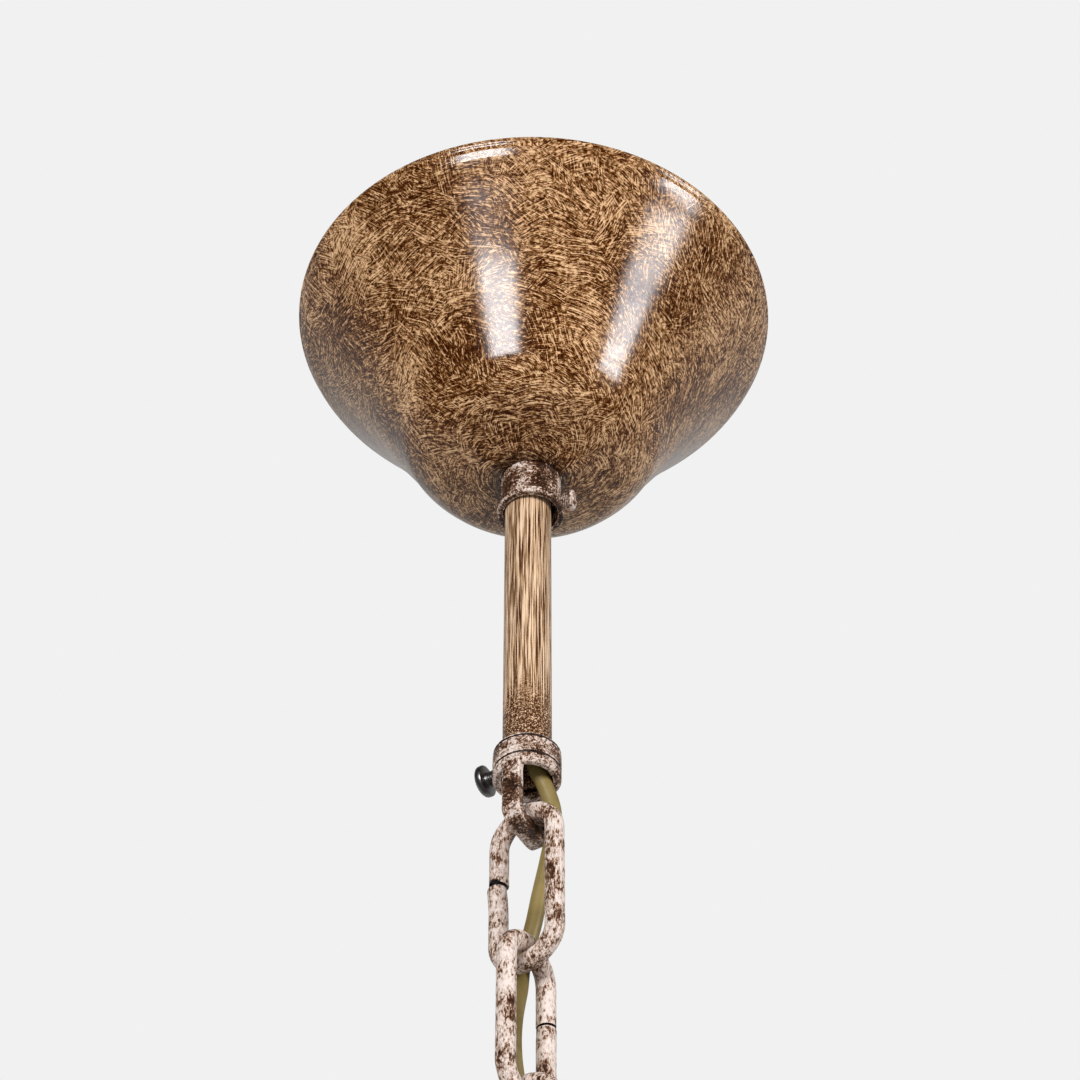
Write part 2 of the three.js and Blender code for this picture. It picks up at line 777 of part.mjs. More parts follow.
// Canopy shell: a spline wall from the rolled rim to the neck, of even sheet
function canopyShell() {
  const wallTop = 2 * rimRoll + 0.3;
  const neckHole = canopyCollarRadius + seatGap;
  const knots = [
    [shellWallStart, wallTop],
    [canopyRadius - brimInset, brimDepth],
    [shoulderRadius, shoulderDepth],
    [flankRadius, flankDepth],
    [waistRadius, waistDepth],
    [bulbRadius, bulbDepth],
    [bulbFootRadius, canopyHeight - bulbFootRise],
    [neckHole, canopyHeight],
  ];
  const spline = new THREE.SplineCurve(knots.map(([r, d]) => new THREE.Vector2(r, d)));
  const outside = spline.getPoints(shellSteps);
  const inside = outside.map((point, i) => {
    const tangent = spline.getTangent(i / shellSteps);
    const inward = new THREE.Vector2(-tangent.y, tangent.x).multiplyScalar(-canopySheet);
    return point.clone().add(inward.x < 0 ? inward : inward.negate());
  });
  inside[shellSteps].set(neckHole, canopyHeight - canopySheet);
  inside[0].set(shellWallStart - canopySheet, wallTop);
  const roll = [];
  const rollSteps = 7;
  for (let i = 0; i <= rollSteps; i += 1) {
    const angle = -Math.PI / 3 + (i * 5 * Math.PI) / (6 * rollSteps);
    const radius = canopyRadius - rimRoll + rimRoll * Math.cos(angle);
    roll.push([radius, rimRoll - rimRoll * Math.sin(angle)]);
  }
  const outline = [
    ...inside.map((p) => [p.x, p.y]),
    ...outside.reverse().map((p) => [p.x, p.y]),
    ...roll,
    [shellWallStart - canopySheet, 0],
  ];
  return turned(outline.map(([r, d]) => [r, canopyTop - d]), largeRound);
}

const canopyScrewLevel = canopyCollarFoot + canopyScrewRise;

function canopyCollar() {
  const lip = canopyCollarRadius + canopyCollarLip;
  const lipTop = canopyCollarFoot + canopyCollarLipHeight;
  const top = neckLevel + canopySheet + canopyCollarInside;
  const body = turned([
    [canopyCollarBore, canopyCollarFoot],
    [lip - 0.3, canopyCollarFoot],
    [lip, canopyCollarFoot + 0.4],
    [lip, lipTop - 0.4],
    [lip - 0.3, lipTop],
    [canopyCollarRadius, lipTop + 0.2],
    [canopyCollarRadius, top],
    [canopyCollarBore, top],
  ]);
  const hole = alongX(rod(canopyScrewRadius + threadGap, 0, 2 * canopyCollarRadius));
  return cut(body, [hole.translate(0, 0, canopyScrewLevel)]);
}

// Ring inside the shell, round the collar's top, its underside sloped like the shell's floor
function canopyRing() {
  const inner = canopyCollarRadius + seatGap;
  const outer = inner + canopyRingWidth;
  const slope = bulbFootRise / (bulbFootRadius - inner);
  const foot = neckLevel + canopySheet + 2 * seatGap;
  const top = neckLevel + canopySheet + canopyCollarInside;
  return turned([[inner, foot], [outer, foot + slope * canopyRingWidth], [outer, top], [inner, top]]);
}

function canopyScrew() {
  const tip = stemRadius - canopyPull + seatGap;
  const length = canopyCollarRadius + canopyScrewShowing - tip;
  const screw = pannedScrew(canopyScrewRadius, length, canopyScrewHeadRadius, canopyScrewHeadHeight);
  return alongX(screw).translate(tip, 0, canopyScrewLevel);
}

// Loop casting with its stem-side face at zero and its bail below
function bailShape() {
  const outer = castRadius - bailInset;
  const inner = outer - bailThickness;
  const top = -castSecondGroove - castGrooveWidth / 2;
  const foot = -(castHeight + bailDrop);
  const seat = foot + bailFootThickness;
  const innerCorner = Math.min(bailCorner - bailThickness, inner / 2);
  const shape = new THREE.Shape();
  shape.moveTo(-outer, top);
  shape.lineTo(-outer, foot + bailCorner);
  shape.absarc(-outer + bailCorner, foot + bailCorner, bailCorner, Math.PI, 1.5 * Math.PI);
  shape.absarc(outer - bailCorner, foot + bailCorner, bailCorner, 1.5 * Math.PI, 2 * Math.PI);
  shape.lineTo(outer, top);
  shape.lineTo(inner, top);
  shape.absarc(inner - innerCorner, seat + innerCorner, innerCorner, 0, -Math.PI / 2, true);
  shape.absarc(-inner + innerCorner, seat + innerCorner, innerCorner, -Math.PI / 2, -Math.PI, true);
  shape.lineTo(-inner, top);
  shape.closePath();
  return shape;
}

function loopCasting() {
  const deep = castRadius - castGrooveDepth;
  const half = castGrooveWidth / 2;
  const collar = solid(turned([
    [castBore, -castHeight],
    [castRadius - 0.6, -castHeight],
    [castRadius, -castHeight + 0.7],
    [castRadius, -castSecondGroove - half],
    [deep, -castSecondGroove],
    [castRadius, -castSecondGroove + half],
    [castRadius, -castFirstGroove - half],
    [deep, -castFirstGroove],
    [castRadius, -castFirstGroove + half],
    [castRadius - castBevel, 0],
    [castBore, 0],
  ]));
  const options = { depth: bailWidth, bevelEnabled: false, curveSegments: 6 };
  const strap = new THREE.ExtrudeGeometry(bailShape(), options);
  const across = new THREE.Vector3(1, 0, 0);
  const along = new THREE.Vector3(0, 1, 0);
  strap.applyMatrix4(new THREE.Matrix4().makeBasis(along, upwards, across));
  strap.translate(-bailWidth / 2, 0, 0);
  const foot = -(castHeight + bailDrop);
  const rounding = rod(castRadius - bailInset, foot - 1, 1, mediumRound);
  const bore = rod(castBore, -castHeight - 0.01, 1, mediumRound);
  const screwHole = alongX(rod(castScrewRadius + threadGap, 0, 2 * castRadius), -1);
  const body = collar
    .add(solid(strap).intersect(solid(rounding)))
    .subtract(solid(bore))
    .subtract(solid(screwHole.translate(0, 0, -castScrewDrop)));
  return surface(body);
}

function castScrew() {
  const tip = stemRadius + seatGap;
  const length = castRadius + castScrewShowing - tip;
  const screw = pannedScrew(castScrewRadius, length, castScrewHeadRadius, castScrewHeadHeight);
  return alongX(screw, -1).translate(-tip, 0, -castScrewDrop);
}

// Centreline of a link in X and Z, from one face of its split round to the other, top at zero
class LinkPath extends THREE.Curve {
  getPoint(t, target = new THREE.Vector3()) {
    const straight = linkRun - 2 * linkHalf;
    const bend = Math.PI * linkHalf;
    const whole = 2 * (straight + bend);
    const start = straight / 2 + linkSplitRise + linkSplit / 2;
    let s = start + t * (whole - linkSplit);
    s %= whole;
    const low = -linkHalf - straight;
    if (s < straight) {
      return target.set(-linkHalf, 0, low + s);
    }
    if (s < straight + bend) {
      const angle = Math.PI - (s - straight) / linkHalf;
      return target.set(linkHalf * Math.cos(angle), 0, -linkHalf + linkHalf * Math.sin(angle));
    }
    if (s < 2 * straight + bend) {
      return target.set(linkHalf, 0, -linkHalf - (s - straight - bend));
    }
    const angle = (s - 2 * straight - bend) / linkHalf;
    return target.set(linkHalf * Math.cos(angle), 0, low - linkHalf * Math.sin(angle));
  }
}

function chainLink() {
  return roundCord(new LinkPath(), linkWireRadius, linkSides, linkSteps);
}

// Lamp stem: the same tube, turned down to a thread at its foot
function lampStem() {
  const land = lampShoulder + shoulderLand;
  return turned([
    [stemBore, lampStemTop],
    [stemRadius, lampStemTop],
    [stemRadius, lampShoulder],
    [threadRadius, lampShoulder],
    [threadRadius, lampThreadFoot],
    [threadBore, lampThreadFoot],
    [threadBore, land],
    [stemBore, land + (stemBore - threadBore)],
  ]);
}

function lampCoupling() {
  return hexNut(couplingFlats, threadRadius + threadGap, couplingFoot, couplingHeight);
}

const contactAngles = [90, 210, 330];

function contactPlace(degrees) {
  const angle = (degrees * Math.PI) / 180;
  return [contactRing * Math.cos(angle), contactRing * Math.sin(angle)];
}

const connectorFoot = connectorTop - connectorHeight;
const contactFoot = connectorFoot + contactRecess;

function connectorBody() {
  const body = rod(connectorRadius, connectorFoot, connectorTop, mediumRound);
  const tools = contactAngles.map((angle) => {
    const [x, y] = contactPlace(angle);
    const top = contactFoot + contactLength + seatGap;
    return rod(contactRadius + seatGap / 2, connectorFoot - 1, top).translate(x, y, 0);
  });
  return cut(body, tools);
}

function contact(degrees) {
  const [x, y] = contactPlace(degrees);
  const length = contactLength;
  const socket = turned([
    [0, contactFoot + length],
    [contactRadius, contactFoot + length],
    [contactRadius, contactFoot],
    [0.55 * contactRadius, contactFoot],
    [0.55 * contactRadius, contactFoot + 0.7 * length],
    [0, contactFoot + 0.7 * length],
  ], 12);
  return socket.translate(x, y, 0);
}

// Cable: one route, cut into runs where it passes from one moving piece to the next
function routePoints(stretches, turn) {
  return stretches.flatMap(([level, points]) =>
    points.map(([x, y, rise]) => new THREE.Vector3(x, y, level + rise).applyAxisAngle(upwards, turn)),
  );
}

const cablePoints = [
  ...routePoints(upperStretches, 0),
  ...routePoints(lowerStretches, -radians(chainTurn)),
];
const cableMarks = [...upperStretches, ...lowerStretches].flatMap(([, points]) =>
  points.map((point) => point[3] === "cut"),
);
const cableCuts = cableMarks.flatMap((isCut, i) => (isCut ? [i] : []));
const cableCurve = new THREE.CatmullRomCurve3(cablePoints, false, "centripetal");

function cableRun(from, to, steps) {
  const last = cablePoints.length - 1;
  const trim = (point, other) =>
    seatGap / 2 / cablePoints[point].distanceTo(cablePoints[other]);
  const start = from === 0 ? 0 : (from + trim(from, from + 1)) / last;
  const end = to === last ? 1 : (to - trim(to, to - 1)) / last;
  return roundCord(new CurvePart(cableCurve, start, end), cableRadius, cordSides, steps);
}

// Assembly
const suspension = new THREE.Group();
piece(suspension, "ceiling_plate", ceilingPlate(), "zinc");
piece(suspension, "yoke", yoke(), "zinc");
piece(suspension, "yoke_rivet_right", rivet(rivetPlace), "zinc");
piece(suspension, "yoke_rivet_left", rivet(-rivetPlace), "zinc");
piece(suspension, "stem", stem(), "paintedStem");
const nutBore = threadRadius + threadGap;
piece(suspension, "stem_nut_lower", hexNut(nutFlats, nutBore, lowerNutTop - nutHeight, nutHeight), "zinc");
piece(suspension, "stem_washer", toothedWasher(), "zinc");
piece(suspension, "stem_nut_upper", hexNut(nutFlats, nutBore, upperNutFoot, nutHeight), "zinc");
piece(suspension, "cord_grip", cordGrip(), "whitePlastic");
piece(suspension, "cord_grip_screw", gripScrew(), "whitePlastic");

piece(suspension, "terminal_block", terminalBlock(), "whitePlastic");
piece(suspension, "terminal_fixing_screw", fixingScrew(), "zinc");
for (const [pole, side] of [["live", 1], ["neutral", -1]]) {
  const y = (side * poleSpacing) / 2;
  piece(suspension, `terminal_${pole}`, poleTube(y), "brass");
  piece(suspension, `terminal_screw_${pole}_lamp`, poleScrew(-poleScrewSpacing / 2, y), "zinc");
  piece(suspension, `terminal_screw_${pole}_mains`, poleScrew(poleScrewSpacing / 2, y), "zinc");
  piece(suspension, `core_${pole}`, poleCore(side), pole === "live" ? "brownCore" : "blueCore");
}
piece(suspension, "core_earth", earthCore(), "earthCore");
piece(suspension, "earth_tag", earthTag(), "brass");
piece(suspension, "earth_screw", earthScrew(), "brass");
const earthNutFoot = earthNutTop - earthNutHeight;
const earthNut = hexNut(earthNutFlats, earthScrewRadius + threadGap, earthNutFoot, earthNutHeight);
piece(suspension, "earth_nut", earthNut.translate(-earthPlace, 0, 0), "brass");

// The canopy's pieces are drawn upright about the stem's axis, then tipped about the collar
const canopyHang = new THREE.Group();
canopyHang.rotation.z = radians(canopyTurn);
suspension.add(canopyHang);
const canopyPivot = new THREE.Group();
canopyPivot.position.set(canopyPull, 0, canopyScrewLevel);
canopyPivot.rotation.y = radians(canopyTip);
canopyHang.add(canopyPivot);
const canopy = new THREE.Group();
canopy.position.z = -canopyScrewLevel;
canopyPivot.add(canopy);
piece(canopy, "canopy_shell", canopyShell(), "canopyLacquer");
piece(canopy, "canopy_collar", canopyCollar(), "castPatina");
piece(canopy, "canopy_ring", canopyRing(), "zinc");
piece(canopy, "canopy_screw", canopyScrew(), "darkScrew");

const upperLoop = new THREE.Group();
upperLoop.position.z = castTop;
suspension.add(upperLoop);
piece(upperLoop, "loop_collar", loopCasting(), "castPatina");
piece(upperLoop, "loop_screw", castScrew(), "darkScrew");

const chain = new THREE.Group();
chain.rotation.z = -radians(chainTurn);
suspension.add(chain);
linkTops.forEach((top, i) => {
  const link = piece(chain, `chain_link_${i + 1}`, chainLink(), "chainPatina");
  link.position.z = top;
  link.rotation.z = i % 2 === 0 ? 0 : -Math.PI / 2;
});

const lowerLoop = new THREE.Group();
lowerLoop.position.z = lampCastEnd;
lowerLoop.rotation.x = Math.PI;
chain.add(lowerLoop);
piece(lowerLoop, "lamp_loop_collar", loopCasting(), "castPatina");
piece(lowerLoop, "lamp_loop_screw", castScrew(), "darkScrew");

piece(chain, "lamp_stem", lampStem(), "paintedStem");
piece(chain, "lamp_coupling", lampCoupling(), "darkScrew");
piece(chain, "cable_connector", connectorBody(), "whitePlastic");
contactAngles.forEach((angle, i) => {
  piece(chain, `connector_contact_${i + 1}`, contact(angle), "brass");
});

const cableEnds = [0, ...cableCuts, cablePoints.length - 1];
cableRuns.forEach(([name, steps], i) => {
  piece(suspension, name, cableRun(cableEnds[i], cableEnds[i + 1], steps), "khakiSheath");
});

export default suspension;
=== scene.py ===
"""Looks of a chandelier's ceiling suspension: bracket, canopy, stem, chain and supply cable.

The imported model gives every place, in metres. This script adds fine surfaces and finishes.
Sizes in the classes are millimetres, as in the part's source.
"""

import json
import logging
import math
from contextlib import contextmanager
from dataclasses import dataclass
from enum import Enum
from functools import cache
from typing import Callable, Iterator, Optional, Sequence

import bmesh
import bpy
import numpy as np
from mathutils import Matrix, Vector, noise


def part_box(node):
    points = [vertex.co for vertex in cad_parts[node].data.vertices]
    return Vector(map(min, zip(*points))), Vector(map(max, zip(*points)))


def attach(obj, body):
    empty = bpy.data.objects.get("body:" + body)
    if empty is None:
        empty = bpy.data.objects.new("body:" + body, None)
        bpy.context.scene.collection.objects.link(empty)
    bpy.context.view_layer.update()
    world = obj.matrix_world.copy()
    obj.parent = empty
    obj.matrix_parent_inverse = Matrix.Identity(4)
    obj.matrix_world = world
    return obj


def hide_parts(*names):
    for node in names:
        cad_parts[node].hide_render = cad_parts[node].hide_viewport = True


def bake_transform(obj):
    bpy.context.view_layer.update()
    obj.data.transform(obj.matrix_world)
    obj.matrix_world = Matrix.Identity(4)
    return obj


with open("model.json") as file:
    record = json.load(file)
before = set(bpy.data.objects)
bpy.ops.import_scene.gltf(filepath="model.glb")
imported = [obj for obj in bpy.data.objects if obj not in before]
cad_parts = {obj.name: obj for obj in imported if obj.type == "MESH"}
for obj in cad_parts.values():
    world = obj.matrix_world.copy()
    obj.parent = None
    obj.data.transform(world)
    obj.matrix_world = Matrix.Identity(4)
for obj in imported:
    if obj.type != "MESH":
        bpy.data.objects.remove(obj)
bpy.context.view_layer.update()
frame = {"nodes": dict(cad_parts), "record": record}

Piece, Node, Socket, Tree = bpy.types.Object, bpy.types.Node, bpy.types.NodeSocket, bpy.types.NodeTree

MM = 0.001
log = logging.getLogger("suspension")
BODY_OF = {
    node: body
    for body, nodes in frame["record"]["behaviour"]["bodies"].items()
    for node in nodes
}

# Levels and places that several sub-assemblies share
STEM_RADIUS = 6.0
STEM_BORE = 4.75
THREAD_RADIUS = 5.0
THREAD_BORE = 3.5
CHAMFER = 0.3
CANOPY_TURN = 27.0
CANOPY_TIP = 0.5
CANOPY_PULL = 0.7
CANOPY_PIVOT = -72.6
CHAIN_TURN = 4.5
CAST_TOP = -161.3
LAMP_CAST_END = -324.16
CAST_HEIGHT = 9.2
GROOVE_DROPS = (1.0, 6.4)
LAMP_SHOULDER = -338.16

# A casting's bail: distances from the collar's foot between which it is smoothed, and the passes
STRAP = (0.8, 20.0)
STRAP_PASSES = 34

# Degrees from which an edge stays crisp: on new shapes, copies of the model, castings and nuts
CRISP, CRISP_COPY, CRISP_CAST, CRISP_NUT = 38.0, 34.0, 80.0, 24.0


class Slot(Enum):
    """Material slots of the record."""

    LACQUER = "canopy_lacquer"
    STEM = "painted_stem"
    CAST = "cast_patina"
    CHAIN = "chain_patina"
    DARK = "dark_screw"
    ZINC = "zinc"
    BRASS = "brass"
    PLASTIC = "white_plastic"
    SHEATH = "khaki_sheath"
    BROWN = "brown_core"
    BLUE = "blue_core"
    EARTH = "earth_core"


# ---------------------------------------------------------------- shapes


def turn_z(degrees: float) -> Matrix:
    """A turn about Z."""
    return Matrix.Rotation(math.radians(degrees), 4, "Z")


def new_object(name: str, points: Sequence, faces: Sequence, place: Matrix = Matrix.Identity(4)) -> Piece:
    """Makes a smooth-shaded object from millimetre points.

    Args:
        name: Name of the piece.
        points: Corner points in millimetres.
        faces: Faces as lists of point numbers.
        place: Transform in millimetres, applied to the points.

    Returns:
        The linked object, with its origin at the frame's origin.
    """
    moved = [tuple((place @ Vector(p)) * MM) for p in points]
    mesh = bpy.data.meshes.new(name)
    mesh.from_pydata(moved, [], faces)
    mesh.validate()
    piece = bpy.data.objects.new(name, mesh)
    bpy.context.scene.collection.objects.link(piece)
    tidy_mesh(piece)
    return piece


@contextmanager
def edited(piece: Piece) -> Iterator[bmesh.types.BMesh]:
    """Opens a piece's mesh for changes and writes it back at the end."""
    work = bmesh.new()
    work.from_mesh(piece.data)
    yield work
    work.to_mesh(piece.data)
    work.free()


def tidy_mesh(piece: Piece, sharp: float = CRISP) -> None:
    """Turns faces outwards, shades them smooth and marks sharp edges.

    Args:
        piece: Mesh object.
        sharp: Edges that bend by more degrees than this stay crisp.
    """
    with edited(piece) as work:
        bmesh.ops.recalc_face_normals(work, faces=work.faces)
        for face in work.faces:
            face.smooth = True
        for edge in work.edges:
            edge.smooth = len(edge.link_faces) != 2 or edge.calc_face_angle(0) < math.radians(sharp)


def settle(piece: Piece) -> None:
    """Applies every modifier of a piece to its mesh."""
    graph = bpy.context.evaluated_depsgraph_get()
    graph.update()
    mesh = bpy.data.meshes.new_from_object(piece.evaluated_get(graph))
    mesh.name = piece.name
    piece.modifiers.clear()
    piece.data = mesh


def skin(rows: Sequence[Sequence[int]]) -> list[list[int]]:
    """Faces between each closed ring of point numbers and the next."""
    faces = []
    for row, after in zip(rows, rows[1:]):
        for k in range(len(row)):
            n = (k + 1) % len(row)
            ring = list(dict.fromkeys([row[k], row[n], after[n], after[k]]))
            if len(ring) > 2:
                faces.append(ring)
    return faces


def lathe(
    outline: Sequence[tuple[float, float]],
    segments: int,
    place: Matrix = Matrix.Identity(4),
    wave: Optional[Callable[[float, float, float], float]] = None,
) -> Piece:
    """Turns a closed outline about Z.

    Args:
        outline: Points (radius, level), closed by joining the last to the first. Points on the
            axis come only at the two ends.
        segments: Steps round the turn.
        place: Transform in millimetres.
        wave: Gives each point its radius from (angle, radius, level), as for a thread.

    Returns:
        The turned piece.
    """
    points, rows = [], []
    for radius, level in outline:
        if radius < 1e-6:
            rows.append([len(points)] * segments)
            points.append((0.0, 0.0, level))
            continue
        row = []
        for k in range(segments):
            angle = 2 * math.pi * k / segments
            r = wave(angle, radius, level) if wave else radius
            row.append(len(points))
            points.append((r * math.cos(angle), r * math.sin(angle), level))
        rows.append(row)
    return new_object("turned", points, skin([*rows, rows[0]]), place)


def thread_outline(radius: float, foot: float, top: float, pitch: float) -> list[tuple[float, float]]:
    """Outline points close enough together to carry a thread, from foot to top."""
    steps = max(2, round(abs(top - foot) / pitch * 8))
    return [(radius, foot + (top - foot) * i / steps) for i in range(steps + 1)]


def thread_wave(radius: float, pitch: float, low: float, high: float) -> Callable:
    """Radius of a screw thread.

    Args:
        radius: Radius whose points carry the thread.
        pitch: Rise in one turn.
        low: Level where the thread starts.
        high: Level where it ends.

    Returns:
        A wave for lathe().
    """
    depth, flank = 0.55 * pitch, 2.4

    def wave(angle: float, r: float, level: float) -> float:
        """Radius at one point."""
        if abs(r - radius) > 1e-6 or not low - 1e-6 <= level <= high + 1e-6:
            return r
        phase = (level / pitch - angle / (2 * math.pi)) % 1.0
        ridge = min(1.0, flank * abs(phase - 0.5))
        run = min(1.0, (level - low) / pitch, (high - level) / pitch)
        return r - depth * (1 - ridge) * max(0.0, run)

    return wave


def smooth_route(points: Sequence[Sequence[float]], spacing: float) -> tuple[np.ndarray, list[int]]:
    """A centripetal Catmull-Rom curve through points.

    Args:
        points: The route in millimetres.
        spacing: Wanted distance between the returned points.

    Returns:
        The points along the curve, and the place of each given point among them.
    """
    p = np.array(points, float)
    out, marks = [], []
    for i in range(len(p) - 1):
        before = p[i - 1] if i else 2 * p[0] - p[1]
        after = p[i + 2] if i + 2 < len(p) else 2 * p[-1] - p[-2]
        x0, x1, x2, x3 = before, p[i], p[i + 1], after
        d0, d1, d2 = (math.sqrt(np.linalg.norm(b - a)) for a, b in ((x0, x1), (x1, x2), (x2, x3)))
        t1 = ((x1 - x0) / d0 - (x2 - x0) / (d0 + d1) + (x2 - x1) / d1) * d1
        t2 = ((x2 - x1) / d1 - (x3 - x1) / (d1 + d2) + (x3 - x2) / d2) * d1
        c2, c3 = -3 * x1 + 3 * x2 - 2 * t1 - t2, 2 * x1 - 2 * x2 + t1 + t2
        marks.append(len(out))
        steps = max(2, round(np.linalg.norm(x2 - x1) / spacing))
        for k in range(steps):
            t = k / steps
            out.append(x1 + t1 * t + c2 * t * t + c3 * t ** 3)
    marks.append(len(out))
    out.append(p[-1])
    return np.array(out), marks


def sweep(route: np.ndarray, radius: float, sides: int = 24, rim: float = 0.0) -> Piece:
    """A round bar along a route, closed at both ends.

    Args:
        route: Centre points in millimetres.
        radius: Radius of the bar.
        sides: Steps round it.
        rim: Size of the rounding at the end faces.

    Returns:
        The bar.
    """
    ways = np.gradient(route, axis=0)
    ways /= np.linalg.norm(ways, axis=1, keepdims=True)
    side = np.cross(ways[0], [0.31, 0.95, 0.05])
    rings = []
    for centre, way in zip(route, ways):
        side = side - way * side.dot(way)
        side /= np.linalg.norm(side)
        rings.append((centre, radius, side, way))
    if rim:
        arc = ((0.0, 1.0), (0.3, 0.3), (1.0, 0.0))
        (first, _, *foot), (last, _, *top) = rings[0], rings[-1]
        head = [(first + foot[1] * (rim * on), radius - rim * off, *foot) for on, off in arc]
        tail = [(last - top[1] * (rim * on), radius - rim * off, *top) for on, off in reversed(arc)]
        rings = head + rings[1:-1] + tail
    points = []
    for centre, r, normal, way in rings:
        other = np.cross(way, normal)
        for k in range(sides):
            angle = 2 * math.pi * k / sides
            points.append(centre + r * (math.cos(angle) * normal + math.sin(angle) * other))
    rows = [range(first, first + sides) for first in range(0, len(points), sides)]
    return new_object("bar", points, [*skin(rows), rows[0], rows[-1]])


def closed_copy(node: str) -> Piece:
    """Copies a CAD node's mesh, without material and with its corners merged."""
    piece = bpy.data.objects.new(node + "_copy", frame["nodes"][node].data.copy())
    piece.data.materials.clear()
    bpy.context.scene.collection.objects.link(piece)
    with edited(piece) as work:
        bmesh.ops.remove_doubles(work, verts=work.verts, dist=2e-6)
    return piece


def fine_copy(node: str, bevel: float) -> Piece:
    """Copies a CAD node with its flat faces joined and its edges rounded.

    Args:
        node: Name of the node.
        bevel: Width of the rounding in millimetres.

    Returns:
        The new piece.
    """
    flat, crisp = math.radians(1.0), math.radians(30)
    piece = closed_copy(node)
    with edited(piece) as work:
        bmesh.ops.dissolve_limit(work, angle_limit=flat, verts=work.verts, edges=work.edges)
        edges = [e for e in work.edges if len(e.link_faces) == 2 and e.calc_face_angle(0) > crisp]
        bmesh.ops.bevel(work, geom=edges, offset=bevel * MM, segments=2, profile=0.5, affect="EDGES",
                        clamp_overlap=True)
    tidy_mesh(piece, CRISP_COPY)
    return piece


def soften(piece: Piece, passes: int, group: str = "") -> None:
    """Adds smoothing passes to a piece, or to one vertex group of it."""
    smooth = piece.modifiers.new("soften", "SMOOTH")
    smooth.factor = 0.5
    smooth.iterations = passes
    smooth.vertex_group = group


def cast_copy(
    node: str, voxel: float, rounding: int, rough: float, seed: float,
    strap: Optional[tuple[float, float]] = None,
) -> Piece:
    """Copies a CAD node as a rough casting with soft edges.

    Args:
        node: Name of the node.
        voxel: Grid of the remeshing in millimetres.
        rounding: Smoothing passes.
        rough: Height of the surface's unevenness in millimetres.
        seed: Offset of the unevenness.
        strap: Levels in millimetres between which the edges are rounder.

    Returns:
        The new piece.
    """
    piece = closed_copy(node)
    remesh = piece.modifiers.new("grid", "REMESH")
    remesh.mode = "VOXEL"
    remesh.voxel_size = voxel * MM
    soften(piece, rounding)
    settle(piece)
    if strap:
        group = piece.vertex_groups.new(name="strap")
        within = [v.index for v in piece.data.vertices if strap[0] < v.co.z / MM < strap[1]]
        group.add(within, 1.0, "REPLACE")
        soften(piece, STRAP_PASSES, group.name)
        settle(piece)
        piece.vertex_groups.clear()

    def height(at: Vector) -> float:
        """Broad lumps with small pits."""
        lump = noise.noise(at * 0.45 + Vector((seed, 0, 0)))
        pit = noise.noise(at * 1.6 + Vector((0, seed, 0)))
        return rough * (0.7 * lump + 0.5 * min(0.15, pit))

    push_out(piece, height)
    tidy_mesh(piece, CRISP_CAST)
    return piece


def push_out(piece: Piece, height: Callable[[Vector], float]) -> None:
    """Moves each corner of a piece along its normal.

    Args:
        piece: Mesh object.
        height: Gives the distance in millimetres from the corner's place in millimetres.
    """
    corners = piece.data.vertices
    moved = [v.co + v.normal * height(v.co / MM) * MM for v in corners]
    corners.foreach_set("co", [value for corner in moved for value in corner])
    piece.data.update()


def trim(piece: Piece, tool: Piece, way: str, sharp: float = CRISP) -> None:
    """Trims a piece by a tool and removes the tool.

    Args:
        piece: Mesh object.
        tool: Closed mesh object.
        way: DIFFERENCE cuts the tool's shape out, INTERSECT keeps what is inside it.
        sharp: Edges that bend by more degrees than this stay crisp.
    """
    cut = piece.modifiers.new("cut", "BOOLEAN")
    cut.operation = way
    cut.solver = "EXACT"
    cut.object = tool
    settle(piece)
    bpy.data.objects.remove(tool)
    tidy_mesh(piece, sharp)


def box_tool(x: float, y: float, z: float, place: Matrix) -> Piece:
    """A plain cutting block of the given sides, about its middle."""
    signs = (-1, 1)
    points = [(i * x / 2, j * y / 2, k * z / 2) for i in signs for j in signs for k in signs]
    faces = [(0, 1, 3, 2), (4, 6, 7, 5), (0, 4, 5, 1), (2, 3, 7, 6), (0, 2, 6, 4), (1, 5, 7, 3)]
    return new_object("tool", points, faces, place)


# ---------------------------------------------------------------- finishes


